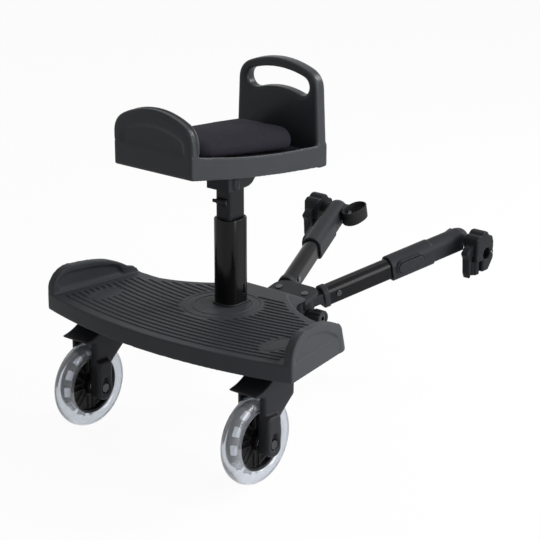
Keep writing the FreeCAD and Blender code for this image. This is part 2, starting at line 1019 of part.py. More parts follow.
def deck_core():
    """Hollow tray with a sloping nose."""
    body = padded("XY", deck_outline(zero), deck_low, s.deck_top)
    hollow = padded("XY", deck_outline(s.deck_wall), deck_low - s.overrun, deck_under)
    front = ahead(s.nose_root - s.nose_solid)
    reach = s.deck_half + s.overrun
    nose_fill = block((-reach, reach), (front, ahead(s.nose_ahead)), (deck_low - s.overrun, s.deck_top))
    root = ahead(s.nose_root)
    tip = ahead(s.nose_ahead + s.overrun)
    slope = [
        (root, s.deck_top),
        (tip, s.deck_top - s.nose_drop),
        (tip, s.deck_top + s.overrun),
        (root, s.deck_top + s.overrun),
    ]
    wedge = padded("YZ", slope, -s.nose_half - s.overrun, s.nose_half + s.overrun)
    clearance = rod("X", s.nose_gap_radius, -s.deck_half, s.deck_half, pivot_at)
    return cut(body, cut(hollow, nose_fill), wedge, clearance)


def kick_plate():
    """Raised end plate along the deck's tapered side, with a framed panel on both faces."""
    run = math.hypot(s.side_front.value + s.corner_back.value, s.deck_half.value - s.deck_front_half.value)
    length = s.side_front + s.corner_back + s.kick_overhang
    slant = math.degrees(math.asin((s.deck_half.value - s.deck_front_half.value) / run))
    plate = padded("YZ", in_box(KICK_SHARES, zero, deck_low, length, s.kick_height), -s.kick_thick, zero)
    panel_low = deck_low - s.overrun
    panel_height = s.kick_height - s.kick_border + s.overrun
    border = s.kick_border
    panel_length = length - s.kick_overhang - border * 2
    panel = in_box(KICK_PANEL_SHARES, border, panel_low, panel_length, panel_height)
    outside = padded("YZ", panel, -s.kick_recess, s.overrun)
    lip = s.deck_top + s.kick_border / 2
    inner_height = deck_low + s.kick_height - s.kick_border - lip
    inner_panel = in_box(KICK_PANEL_SHARES, border, lip, panel_length, inner_height)
    inside = padded("YZ", inner_panel, -s.kick_thick - s.overrun, s.kick_recess - s.kick_thick)
    framed = cut(plate, outside, inside)
    framed.Placement = FreeCAD.Placement(Vector(), FreeCAD.Rotation(Vector(0, 0, 1), slant))
    move_to(framed, s.deck_half, ahead(-s.corner_back), zero)
    bounds = padded("XY", deck_outline(zero), deck_low, deck_low + s.kick_height + s.overrun)
    return common(framed, bounds)


def pivot_ear():
    """Lug below the nose that carries one end of the front pivot."""
    y, z = pivot_at
    top = z - s.ear_drop
    low = z - s.ear_radius
    root = ahead(s.nose_root - s.ear_bury)
    rise = ahead((s.nose_root + s.nose_ahead - s.ear_bury) / 2)
    floor = deck_low + s.overrun
    bar = [(root, low), (y, low), (y, top), (rise, top), (rise, floor), (root, floor)]
    end = s.ear_inner + s.ear_thick
    arm = padded("YZ", bar, s.ear_inner, end)
    return fuse(arm, rod("X", s.ear_radius, s.ear_inner, end, pivot_at))


def ridges():
    """Anti-slip ridges that follow the bowed rear edge and stop short of the plain disc and ovals."""
    chord = s.deck_half.value
    bow = s.rear_bow.value
    radius = (chord * chord + bow * bow) / (2 * bow)
    middle = Vector(0, ahead(-s.corner_back - s.rear_bow).value + radius, s.deck_top.value)
    rise = Vector(0, 0, s.ridge_height.value)
    rings = []
    for index in range(RIDGE_COUNT):
        outer = radius - s.ridge_margin.value - index * s.ridge_pitch.value
        wires = []
        for size in (outer, outer - s.ridge_width.value):
            wires.append(Part.Wire(Part.Circle(middle, Vector(0, 0, 1), size).toShape()))
        rings.append(Part.Face(wires, "Part::FaceMakerBullseye").extrude(rise))
    bands = doc.addObject("Part::Feature", "bands")
    bands.Shape = Part.makeCompound(rings)
    zone_low = s.deck_top - s.overrun
    zone_high = s.deck_top + s.overrun
    margin = s.ridge_margin
    half = s.deck_half - margin - s.kick_thick
    front_half = s.deck_front_half - margin - s.kick_thick
    corner = ahead(margin - s.corner_back)
    shoulder = ahead(s.shoulder_ahead - margin)
    shoulder_half = s.shoulder_half - margin
    root = ahead(s.nose_root - margin * 2)
    waist = (s.waist_half - margin / 2, ahead(s.waist_ahead - margin))
    zone_points = [
        (half, corner, zero, ahead(margin / 2 - s.corner_back - s.rear_bow)),
        (front_half, ahead(s.side_front - margin)),
        (shoulder_half, shoulder),
        (s.nose_half, root) + waist,
        (-s.nose_half, root),
        (-shoulder_half, shoulder, -waist[0], waist[1]),
        (-front_half, ahead(s.side_front - margin)),
        (-half, corner),
    ]
    zone = padded("XY", zone_points, zone_low, zone_high)
    disc = rod("Z", s.disc_radius, zone_low, zone_high, (zero, post_y - s.disc_setback))
    ovals = []
    for side in BOTH_SIDES:
        oval = doc.addObject("Part::Ellipse", "oval_line")
        bind(oval, "MajorRadius", s.badge_half_length)
        bind(oval, "MinorRadius", s.badge_half_width)
        oval.Placement = FreeCAD.Placement(Vector(), FreeCAD.Rotation(Vector(0, 0, 1), 90))
        move_to(oval, s.badge_across * side, ahead(s.badge_ahead), zone_low)
        pressed = doc.addObject("Part::Extrusion", "oval")
        pressed.Base = oval
        pressed.DirMode = "Custom"
        pressed.Dir = Vector(0, 0, 1)
        pressed.Solid = True
        bind(pressed, "LengthFwd", zone_high - zone_low)
        ovals.append(pressed)
    return common(bands, cut(zone, disc, *ovals))


def post_section(border):
    half_x = s.post_across / 2 + border
    half_y = s.post_along / 2 + border
    return round_box(zero, post_y, half_x, half_y, s.post_corner + border)


def deck_shell():
    y = post_y
    half_x = s.post_across / 2 + s.socket_wall
    half_y = s.post_along / 2 + s.socket_wall
    socket = block((-half_x, half_x), (y - half_y, y + half_y), (deck_low, s.deck_top))
    pieces = [deck_core(), socket]
    plate = kick_plate()
    ear = pivot_ear()
    at = (track_half, caster_y)
    caster_socket = rod("Z", s.socket_radius, deck_low, s.deck_top, at)
    rib_rear = ahead(-s.corner_back)
    rib_front = ahead(s.shoulder_ahead - s.deck_wall)
    half_rib = s.rib_thick / 2
    for side in BOTH_SIDES:
        middle = s.rib_across * side
        rib_z = (deck_low + s.deck_wall, deck_under + s.overrun)
        pieces.append(block((middle - half_rib, middle + half_rib), (rib_rear, rib_front), rib_z))
    for item in (plate, ear, caster_socket):
        pieces.append(item)
        pieces.append(mirrored(item))
    pieces.append(ridges())
    tools = [padded("XY", post_section(s.seat_fit), deck_low - s.overrun, s.deck_top + s.overrun)]
    bush_bore = rod("Z", s.bush_radius + s.seat_fit, deck_low - s.overrun, deck_under, at)
    tools.append(bush_bore)
    tools.append(mirrored(bush_bore))
    reach = s.sleeve_end
    tools.append(rod("X", s.pivot_radius + s.seat_fit, -reach, reach, pivot_at))
    bolt_bore = s.cross_bolt_radius + s.seat_fit
    tools.append(rod("X", bolt_bore, -half_x - s.overrun, half_x + s.overrun, (y, s.cross_bolt_height)))
    return cut(fuse(*pieces), *tools)


keep("deck_shell", deck_shell())


# Front pivot

def pivot_sleeve():
    """Ribbed bush outside the ear, with the bolt's head sunk in its end."""
    start = s.ear_inner + s.ear_thick
    sleeve = rod("X", s.sleeve_radius, start, s.sleeve_end, pivot_at)
    ribs = []
    for index in range(SLEEVE_RIBS):
        turn = 2 * math.pi * index / SLEEVE_RIBS
        y = pivot_at[0] + s.sleeve_radius * math.cos(turn)
        z = pivot_at[1] + s.sleeve_radius * math.sin(turn)
        ribs.append(rod("X", s.sleeve_rib, start + s.sleeve_rib, s.sleeve_end - s.sleeve_rib, (y, z)))
    bore = rod("X", s.pivot_radius + s.seat_fit, zero, s.sleeve_end, pivot_at)
    seat = s.sleeve_end - s.bolt_head_thick - s.sleeve_rib
    sink = rod("X", s.bolt_head_radius + s.seat_fit, seat, s.sleeve_end + s.overrun, pivot_at)
    return cut(fuse(sleeve, *ribs), bore, sink)


def pivot_bolt():
    """Long bolt through both ears and the hub, with a hexagon socket in each end."""
    seat = s.sleeve_end - s.bolt_head_thick - s.sleeve_rib
    shank = rod("X", s.pivot_radius, -seat, seat, pivot_at)
    head = rod("X", s.bolt_head_radius, seat, seat + s.bolt_head_thick, pivot_at)
    key = hexagon("X", s.bolt_socket_radius, seat + s.sleeve_rib, s.sleeve_end + s.overrun, pivot_at)
    return cut(fuse(shank, head, mirrored(head)), key, mirrored(key))


sleeve_bush = pivot_sleeve()
keep("pivot_sleeves", group(sleeve_bush, mirrored(sleeve_bush)))
keep("pivot_bolt", pivot_bolt())


# Arm hub and arms, drawn level and then raised about the front pivot

rise_turn = FreeCAD.Placement(
    Vector(),
    FreeCAD.Rotation(Vector(1, 0, 0), s.arm_rise.value),
    Vector(0, pivot_at[0].value, pivot_at[1].value),
)
tongue_mid = s.tongue_low + s.tongue_thick / 2
tongue_high = s.tongue_low + s.tongue_thick
hub_rear = pivot_ahead - s.hub_back
hub_front = pivot_ahead + s.hub_fore
pin_ahead = pivot_ahead + s.pin_lead
pin_y = ahead(pin_ahead)


def raised(item):
    return carried(item, rise_turn)


def hub_plan(half):
    rear = ahead(hub_rear)
    front = ahead(hub_front)
    corner = s.hub_corner
    inset = corner * (1 - DIAGONAL_SHARE)
    return [
        (-half, rear),
        (half, rear),
        (half, front - corner),
        (half - corner, front, half - inset, front - inset),
        (corner - half, front),
        (-half, front - corner, inset - half, front - inset),
    ]


def hub_housing():
    """Lower part of the hub: it turns on the front pivot and holds the arms' eyes."""
    rear = ahead(hub_rear)
    height = s.hub_top - s.hub_plate - s.hub_bottom
    side = in_box(HUB_SHARES, rear, s.hub_bottom, hub_front - hub_rear, height)
    core = padded("YZ", side, -s.hub_core_half, s.hub_core_half)
    plan = padded("XY", hub_plan(s.hub_core_half), s.hub_bottom, s.hub_top)
    shaped = common(core, plan)
    gap = s.tongue_gap
    front = ahead(hub_front + s.overrun)
    rear_slot = ahead(pivot_ahead - s.slot_back)
    slots = []
    for start, end in ((s.web_half, s.hub_half), (-s.hub_half, -s.web_half)):
        slots.append(block((start, end), (rear_slot, front), (s.tongue_low - gap, s.hub_top)))
    front_web = ahead(pin_ahead + s.eye_radius)
    slots.append(block((-s.hub_half, s.hub_half), (front_web, front), (s.tongue_low - gap, s.hub_top)))
    bore = rod("X", s.pivot_radius + s.run_fit, -s.hub_half, s.hub_half, pivot_at)
    holes = [pin_hole(side) for side in BOTH_SIDES]
    return cut(shaped, bore, *slots, *holes)


pin_low = s.tongue_low - s.tongue_gap - s.hub_plate / 2


def pin_hole(side):
    at = (s.pin_half * side, pin_y)
    return rod("Z", s.pin_radius + s.seat_fit, pin_low, s.hub_top + s.overrun, at)


def hub_cover():
    """Top plate over the arms' eyes."""
    low = s.hub_top - s.hub_plate
    plate = soften(padded("XY", hub_plan(s.hub_half), low, s.hub_top), s.hub_plate / 3, "z", s.hub_top)
    return cut(plate, *[pin_hole(side) for side in BOTH_SIDES])


def arm_pins():
    pins = []
    for side in BOTH_SIDES:
        at = (s.pin_half * side, pin_y)
        shank = rod("Z", s.pin_radius, pin_low, s.hub_top, at)
        head = rod("Z", s.pin_head_radius, s.hub_top, s.hub_top + s.pin_head_thick, at)
        pins.append(fuse(shank, head))
    return group(*pins)


keep("hub_housing", raised(hub_housing()))
keep("hub_cover", raised(hub_cover()))
keep("arm_pins", raised(arm_pins()))

# Each arm piece is drawn along +Y from its pin, at the height of the arm's axis, for the right-hand side.

splay_turn = FreeCAD.Placement(
    Vector(s.pin_half.value, pin_y.value, tongue_mid.value),
    FreeCAD.Rotation(Vector(0, 0, 1), -s.arm_splay.value),
)
arm_turn = rise_turn.multiply(splay_turn)
origin = (zero, zero)


def on_arm(item):
    return carried(item, arm_turn)


def tube_outline(width, height, corner):
    """Arm section: flat sides and base under a half-round top."""
    half = width / 2
    low = -height / 2
    spring = height / 2 - half
    inset = corner * (1 - DIAGONAL_SHARE)
    return [
        (half - corner, low),
        (half, low + corner, half - inset, low + inset),
        (half, spring),
        (-half, spring, zero, height / 2),
        (-half, low + corner),
        (corner - half, low, inset - half, low + inset),
    ]


def arm_section(width, height, corner, start, end):
    return padded("XZ", tube_outline(width, height, corner), start, end)


def arm_tube():
    outer = arm_section(s.tube_width, s.tube_height, s.tube_corner, s.tube_start, s.tube_end)
    wall = s.tube_wall
    inner = arm_section(s.tube_width - wall * 2, s.tube_height - wall * 2, s.tube_corner - wall,
                        s.tube_start - s.overrun, s.tube_end + s.overrun)
    rivet_hole = rod("X", s.rivet_radius + s.seat_fit, -s.tube_width, s.tube_width, (s.rivet_along, zero))
    return cut(outer, inner, rivet_hole)


def arm_knuckle():
    """Eye on the pin, a collar at the tube's end and a plug inside the tube."""
    half = s.tongue_thick / 2
    eye = rod("Z", s.eye_radius, -half, half, origin)
    neck_start = s.tube_start - s.collar_length
    wall = s.collar_wall
    neck_half = s.eye_radius - wall
    neck = block((-neck_half, neck_half), (zero, neck_start + s.overrun), (-half, half))
    collar = arm_section(s.tube_width + wall * 2, s.tube_height + wall * 2, s.tube_corner + wall, neck_start,
                         s.tube_start)
    slack = (s.tube_wall + s.seat_fit) * 2
    plug = arm_section(s.tube_width - slack, s.tube_height - slack, s.tube_corner - s.tube_wall,
                       s.tube_start - s.overrun, s.tube_start + s.plug_length)
    pin_bore = rod("Z", s.pin_radius + s.run_fit, -s.tube_height, s.tube_height, origin)
    rivet_hole = rod("X", s.rivet_radius + s.seat_fit, -s.tube_width, s.tube_width, (s.rivet_along, zero))
    return cut(fuse(eye, neck, collar, plug), pin_bore, rivet_hole)


def arm_rivet():
    half = s.tube_width / 2
    at = (s.rivet_along, zero)
    shank = rod("X", s.rivet_radius, -half, half, at)
    head = rod("X", s.rivet_head_radius, half, half + s.rivet_head_thick, at)
    return fuse(shank, head, mirrored(head))


keep_pair("arm_tube", on_arm(arm_tube()))
keep_pair("arm_knuckle", on_arm(arm_knuckle()))
keep_pair("arm_rivet", on_arm(arm_rivet()))


# Telescopic sleeves with the elbow, the release button and the safety strap

sleeve_end_y = s.sleeve_start + s.sleeve_length
button_y = s.button_along + s.button_length / 2
sleeve_side = s.sleeve_width / 2
rim_face = sleeve_side + s.rim_proud
button_floor = rim_face + s.button_proud - s.button_thick - s.button_travel - s.moving_gap
splay_cos = math.cos(math.radians(s.arm_splay.value))
splay_sin = math.sin(math.radians(s.arm_splay.value))
stub_turn = FreeCAD.Rotation(Vector(0, 0, 1), s.arm_splay.value)


def stadium(border, low, high):
    """Long round-ended block on the sleeve's outer side, between two places across it."""
    half = s.button_height / 2 + border
    length = s.button_length / 2 + border
    points = [
        (button_y + length - half, -half),
        (button_y + length - half, half, button_y + length, zero),
        (button_y - length + half, half),
        (button_y - length + half, -half, button_y - length, zero),
    ]
    return padded("YZ", points, low, high)


def on_stub(item):
    """Turn a piece that lies along X about the elbow, so that it lies across the whole board."""
    return carried(item, FreeCAD.Placement(Vector(0, s.elbow_along.value, 0), stub_turn))


def arm_sleeve():
    body = arm_section(s.sleeve_width, s.sleeve_height, s.sleeve_corner, s.sleeve_start, sleeve_end_y)
    neck = arm_section(s.neck_width, s.neck_height, s.sleeve_corner, sleeve_end_y - s.overrun, s.elbow_along)
    elbow = ball(s.elbow_radius, zero, s.elbow_along, zero)
    stub = on_stub(rod("X", s.stub_radius, zero, s.stub_reach, origin))
    spigot = on_stub(rod("X", s.spigot_radius, zero, s.spigot_reach, origin))
    rim = stadium(s.rim_border, zero, rim_face)
    lug_half = s.lug_width / 2
    lug_low = -s.sleeve_height / 2
    lug_z = (lug_low, lug_low + s.lug_height)
    lug = on_stub(block((-s.elbow_radius - s.lug_reach, zero), (-lug_half, lug_half), lug_z))
    slack = s.slide_fit * 2
    bore = arm_section(s.tube_width + slack, s.tube_height + slack, s.tube_corner, s.sleeve_start - s.overrun,
                       s.neck_bore_end)
    well = stadium(s.moving_gap, button_floor, rim_face + s.overrun)
    screw = on_stub(strap_screw_hole())
    return cut(fuse(body, neck, elbow, stub, spigot, rim, lug), bore, well, screw)


strap_face = s.elbow_radius + s.lug_reach


def strap_screw_hole():
    end = s.strap_screw_depth - strap_face
    return rod("X", s.strap_screw_radius + s.seat_fit, -strap_face - s.overrun, end, origin)


def sleeve_button():
    face = rim_face + s.button_proud
    return soften(stadium(zero, face - s.button_thick, face), s.button_proud / 2, "x", face)


def strap_loop():
    """Flat band in a closed oval loop, held by a screw on the lug."""
    wall = s.strap_thick
    half = s.strap_width / 2
    middle = -strap_face - s.strap_span / 2
    points = round_box(middle, zero, s.strap_span / 2, s.strap_length / 2, s.strap_span * STRAP_CORNER_SHARE)
    outer = padded("XY", points, -half, half)
    points = round_box(middle, zero, s.strap_span / 2 - wall, s.strap_length / 2 - wall,
                       s.strap_span * STRAP_CORNER_SHARE - wall)
    inner = padded("XY", points, -half - s.overrun, half + s.overrun)
    hole = rod("X", s.strap_screw_radius + s.seat_fit, -strap_face - wall * 2, s.overrun - strap_face, origin)
    return cut(outer, inner, hole)


def strap_screw():
    seat = -strap_face - s.strap_thick
    shank = rod("X", s.strap_screw_radius, seat, s.strap_screw_depth - strap_face, origin)
    head = rod("X", s.strap_screw_head, seat - s.strap_screw_thick, seat, origin)
    return fuse(shank, head)


keep_pair("arm_sleeve", on_arm(arm_sleeve()))
keep_pair("sleeve_button", on_arm(sleeve_button()))
keep("strap_loop", mirrored(on_arm(on_stub(strap_loop()))))
keep("strap_screw", mirrored(on_arm(on_stub(strap_screw()))))


# Tube clamps, drawn level about the elbow's centre with X across the board

elbow_centre = arm_turn.multVec(Vector(0, s.elbow_along.value, 0))


def on_elbow(item):
    return carried(item, FreeCAD.Placement(elbow_centre, FreeCAD.Rotation()))


clamp_outer = s.clamp_inner + s.clamp_width
clamp_mid = s.clamp_inner + s.clamp_width / 2
parting = s.clamp_top - s.clamp_body_height
bore_at = (s.bore_ahead, parting)
hinge_at = (s.hinge_ahead, parting)
knuckle_low = s.clamp_inner + s.knuckle_width
knuckle_high = clamp_outer - s.knuckle_width
screw_at = (clamp_mid, -s.knob_back)


def clamp_bore():
    return rod("X", s.bore_radius, s.clamp_inner - s.overrun, clamp_outer + s.overrun, bore_at)


def clamp_body():
    """Upper jaw on the arm's stub, with two hinge knuckles in front and a guard beside the knob."""
    outline = in_box(CLAMP_BODY_SHARES, -s.clamp_rear, parting, s.clamp_length, s.clamp_body_height)
    body = padded("YZ", outline, s.clamp_inner, clamp_outer)
    knuckles = []
    for start, end in ((s.clamp_inner, knuckle_low), (knuckle_high, clamp_outer)):
        knuckles.append(rod("X", s.knuckle_radius, start, end, hinge_at))
    rear = -s.clamp_rear - s.guard_length + s.overrun
    low = s.guard_top - s.guard_height
    guard_points = in_box(GUARD_SHARES, rear, low, s.guard_length, s.guard_height)
    guard_low = s.clamp_inner + s.guard_inset
    guard = padded("YZ", guard_points, guard_low, guard_low + s.guard_width)
    room = rod("X", s.knuckle_radius + s.moving_gap, knuckle_low, knuckle_high, hinge_at)
    pin_hole_radius = s.hinge_pin_radius + s.seat_fit
    pin_bore = rod("X", pin_hole_radius, s.clamp_inner - s.overrun, clamp_outer + s.overrun, hinge_at)
    spigot_bore = rod("X", s.spigot_radius + s.run_fit, zero, s.spigot_reach + s.moving_gap, origin)
    screw_room = s.screw_radius + s.screw_swing
    screw_bore = rod("Z", screw_room, parting - s.overrun, parting + s.screw_rise + s.overrun, screw_at)
    return cut(fuse(body, guard, *knuckles), clamp_bore(), room, pin_bore, spigot_bore, screw_bore)


def clamp_jaw():
    """Lower jaw that swings down behind the tube, from a hinge in front of it."""
    top = parting - s.moving_gap
    outline = in_box(JAW_SHARES, -s.clamp_rear, top - s.jaw_height, s.clamp_length, s.jaw_height)
    body = padded("YZ", outline, s.clamp_inner, clamp_outer)
    gap = s.moving_gap
    knuckle = rod("X", s.knuckle_radius, knuckle_low + gap, knuckle_high - gap, hinge_at)
    room = []
    inner_room = (s.clamp_inner - s.overrun, knuckle_low + gap)
    outer_room = (knuckle_high - gap, clamp_outer + s.overrun)
    for start, end in (inner_room, outer_room):
        room.append(rod("X", s.knuckle_radius + gap, start, end, hinge_at))
    pin_bore = rod("X", s.hinge_pin_radius + s.run_fit, s.clamp_inner, clamp_outer, hinge_at)
    screw_bore = rod("Z", s.screw_radius + s.run_fit, top - s.jaw_height, parting, screw_at)
    return cut(fuse(cut(body, *room), knuckle), clamp_bore(), pin_bore, screw_bore)


def clamp_knob():
    """Fluted grip below the jaw's rear lug, with the screw that draws the jaws together."""
    lug_low = parting - s.moving_gap - s.jaw_height * (1 - JAW_SHARES[-1][1])
    top = lug_low - s.moving_gap
    grip = rod("Z", s.knob_radius, top - s.knob_height, top, screw_at)
    screw = rod("Z", s.screw_radius, top - s.overrun, parting + s.screw_rise, screw_at)
    flutes = []
    for index in range(KNOB_FLUTES):
        turn = 2 * math.pi * index / KNOB_FLUTES
        place = (screw_at[0] + s.knob_radius * math.cos(turn), screw_at[1] + s.knob_radius * math.sin(turn))
        flutes.append(rod("Z", s.knob_flute, top - s.knob_height - s.overrun, top + s.overrun, place))
    return fuse(cut(grip, *flutes), screw)


def hinge_pin():
    return rod("X", s.hinge_pin_radius, s.clamp_inner, clamp_outer, hinge_at)


keep_pair("clamp_body", on_elbow(clamp_body()))
keep_pair("clamp_jaw", on_elbow(clamp_jaw()))
keep_pair("clamp_hinge_pin", on_elbow(hinge_pin()))
keep_pair("clamp_knob", on_elbow(clamp_knob()))


# Seat post

def inner_section(border, corner):
    return round_box(zero, post_y, s.inner_across / 2 + border, s.inner_along / 2 + border, corner)


def post_outer():
    tube = padded("XY", post_section(zero), s.post_low, s.post_high)
    tube = soften(tube, s.post_edge, "z", s.post_high)
    bore = padded("XY", post_section(-s.post_wall), s.post_low - s.overrun, s.post_high + s.overrun)
    slot_y = post_y + s.lock_slot_ahead
    half = s.lock_slot_width / 2
    slot = block((-s.post_across, s.post_across), (slot_y - half, slot_y + half),
                 (s.lock_slot_low, s.lock_slot_low + s.lock_slot_height))
    bolt_at = (post_y, s.cross_bolt_height)
    bolt = rod("X", s.cross_bolt_radius + s.seat_fit, -s.post_across, s.post_across, bolt_at)
    return cut(tube, bore, slot, bolt)


def post_foot():
    high = s.deck_top + s.foot_thick
    plate = soften(padded("XY", post_section(s.foot_border), s.deck_top, high), s.foot_thick / 3, "z", high)
    return cut(plate, padded("XY", post_section(s.seat_fit), s.deck_top - s.overrun, high + s.overrun))


def post_guide():
    low = s.post_high - s.guide_height
    ring = padded("XY", post_section(-s.post_wall - s.seat_fit), low, s.post_high)
    passage = inner_section(s.slide_fit, s.inner_corner + s.slide_fit)
    bore = padded("XY", passage, low - s.overrun, s.post_high + s.overrun)
    return cut(ring, bore)


def cross_bolt():
    half = s.post_across / 2 + s.socket_wall
    at = (post_y, s.cross_bolt_height)
    shank = rod("X", s.cross_bolt_radius, -half, half, at)
    head = hexagon("X", s.cross_head_radius, half, half + s.cross_head_thick, at)
    return fuse(shank, head, mirrored(head))


inner_high = s.head_low + s.inner_seat


def tab_window(border):
    front = post_y - s.inner_along / 2
    half = s.tab_width / 2 + border
    low = s.tab_low - border
    high = s.tab_low + s.tab_height + border
    return block((-half, half), (front - s.overrun, front + s.inner_wall + s.overrun), (low, high))


def post_inner():
    tube = padded("XY", inner_section(zero, s.inner_corner), s.inner_low, inner_high)
    core = inner_section(-s.inner_wall, s.inner_corner / 2)
    bore = padded("XY", core, s.inner_low - s.overrun, inner_high + s.overrun)
    return cut(tube, bore, tab_window(s.moving_gap))


def release_tab():
    """Sprung plate in the inner tube's rear face, with a thumb lip along its top."""
    face = post_y - s.inner_along / 2
    half = s.tab_width / 2
    high = s.tab_low + s.tab_height
    stem = face - s.tab_lip
    profile = [
        (face + s.inner_wall, s.tab_low),
        (face + s.inner_wall, high),
        (stem, high),
        (stem, high - s.tab_lip_thick),
        (face - s.moving_gap, high - s.tab_lip_thick * 2),
        (face, s.tab_low),
    ]
    lip_y = (stem - s.tab_lip_reach, stem)
    lip = block((-s.tab_lip_half, s.tab_lip_half), lip_y, (high - s.tab_lip_thick, high))
    return fuse(padded("YZ", profile, -half, half), lip)


keep("post_outer", post_outer())
keep("post_foot", post_foot())
keep("post_guide", post_guide())
keep("post_cross_bolt", cross_bolt())
keep("post_inner", post_inner())
keep("release_tab", release_tab())


# Seat

seat_y = (ahead(-s.seat_rear), ahead(s.seat_front))
seat_run = s.seat_front + s.seat_rear
seat_slope = (s.seat_front_low.value - s.seat_rear_low.value) / seat_run.value


def seat_level(y):
    """Height of the seat's lower edge at a place along Y."""
    return s.seat_rear_low + (y - seat_y[0]) * seat_slope


def seat_slab(low, high, inset, low_dip, high_dip):
    """Part of the seat between two levels that slope and dip, inside its plan."""
    start = seat_y[0] + inset
    end = seat_y[1] - inset
    middle = (start + end) / 2
    reach = s.seat_front_half + s.overrun
    lower = (end, seat_level(end) + low)
    upper = (start, seat_level(start) + high)
    if low_dip:
        lower += (middle, seat_level(middle) + low - low_dip)
    if high_dip:
        upper += (middle, seat_level(middle) + high - high_dip)
    profile = [(start, seat_level(start) + low), lower, (end, seat_level(end) + high), upper]
    side = padded("YZ", profile, -reach, reach)
    rear = s.seat_rear_half - inset
    front = s.seat_front_half - inset
    plan = padded("XY", [(-rear, start), (rear, start), (front, end), (-front, end)],
                  s.seat_front_low - s.rail_height, s.low_panel_top)
    return common(side, plan)


floor_high = s.rail_height - s.rail_dip - s.floor_sink
floor_low = floor_high - s.seat_floor


def low_arch(inset):
    """Outline of the low panel, or of the field inside its border."""
    low = s.seat_rear_low + inset
    top = s.low_panel_top - inset * 3 / 2
    return arch(s.seat_rear_half - inset, low, top, s.low_corner - inset, s.low_bow, s.low_lean_share)


def low_panel():
    front = seat_y[0] + s.low_panel_thick
    panel = padded("XZ", low_arch(zero), seat_y[0], front)
    soften(panel, s.panel_round, "y", seat_y[0])
    soften(panel, s.panel_round, "y", front)
    field = padded("XZ", low_arch(s.emboss_border), seat_y[0] - s.overrun, seat_y[0] + s.emboss_depth)
    return cut(panel, field)


def tall_panel():
    rear = seat_y[1] - s.tall_panel_thick
    top = s.tall_panel_top
    outline = arch(s.seat_front_half, s.seat_front_low, top, s.tall_corner, s.tall_bow, s.tall_lean_share)
    slot = curved_slot(top - s.slot_drop, s.slot_half, s.slot_height / 2, s.slot_bow)
    panel = padded("XZ", outline, rear, seat_y[1], [slot])
    soften(panel, s.panel_round, "y", rear)
    soften(panel, s.panel_round, "y", seat_y[1])
    return panel


def seat_screw_places():
    inset = s.seat_screw_inset
    for side in BOTH_SIDES:
        for y in (post_y - s.head_rear + inset, post_y + s.head_front - inset):
            yield (s.head_half - inset) * side, y


def seat_shell():
    rail = seat_slab(zero, s.rail_height, zero, s.skirt_sag, s.rail_dip)
    under = seat_slab(-s.skirt_sag * 2, floor_low, s.seat_wall, s.skirt_sag, None)
    tray = seat_slab(floor_high, s.rail_height + s.overrun, s.rail_wall, None, s.skirt_sag)
    shell = fuse(cut(rail, under, tray), low_panel(), tall_panel())
    holes = []
    for x, y in seat_screw_places():
        holes.append(rod("Z", s.seat_screw_radius + s.seat_fit, s.head_low, s.low_panel_top, (x, y)))
    return cut(shell, *holes)


def seat_bracket():
    """Head on the inner tube, screwed to the seat's floor, with a rounded front corner."""
    rear = post_y - s.head_rear
    front = post_y + s.head_front
    low = s.head_low
    turn = s.head_round
    inset = turn * (1 - DIAGONAL_SHARE)
    profile = [
        (rear, low),
        (front - turn, low),
        (front, low + turn, front - inset, low + inset),
        (front, seat_level(front) + floor_low),
        (rear, seat_level(rear) + floor_low),
    ]
    head = padded("YZ", profile, -s.head_half, s.head_half)
    socket = padded("XY", inner_section(s.seat_fit, s.inner_corner + s.seat_fit), low - s.overrun, inner_high)
    holes = []
    for x, y in seat_screw_places():
        holes.append(rod("Z", s.seat_screw_radius + s.seat_fit, low + s.inner_seat, s.low_panel_top, (x, y)))
    return cut(head, socket, *holes)


head_tilt = s.seat_screw_head * abs(seat_slope)


def seat_screws():
    """Screws whose level heads rest on the sloping floor at one edge."""
    screws = []
    for x, y in seat_screw_places():
        seat = seat_level(y) + floor_high + head_tilt + s.seat_fit
        top = seat + s.seat_screw_thick
        shank = rod("Z", s.seat_screw_radius, s.head_low + s.inner_seat, top, (x, y))
        screws.append(fuse(shank, rod("Z", s.seat_screw_head, seat, top, (x, y))))
    return group(*screws)


def cushion_wire(level, tuck, crown):
    """Round-cornered plan of the cushion at one of its levels."""
    inset = s.cushion_tuck.value * tuck + s.cushion_crown.value * crown
    half = s.cushion_half.value - inset
    length = (s.cushion_front.value - s.cushion_rear.value) / 2 - inset
    corner = max(s.cushion_corner.value - inset, s.cushion_tuck.value)
    turn = corner * DIAGONAL_SHARE
    edges = []
    corners = []
    for side_x, side_y in ((1, -1), (1, 1), (-1, 1), (-1, -1)):
        centre = Vector(side_x * (half - corner), side_y * (length - corner), level)
        on_x = centre + Vector(side_x * corner, 0, 0)
        on_y = centre + Vector(0, side_y * corner, 0)
        through = centre + Vector(side_x * turn, side_y * turn, 0)
        corners.append((on_y, through, on_x) if side_x != side_y else (on_x, through, on_y))
    for index, (first, through, last) in enumerate(corners):
        edges.append(Part.LineSegment(corners[index - 1][2], first).toShape())
        edges.append(Part.Arc(first, through, last).toShape())
    return Part.Wire(edges)


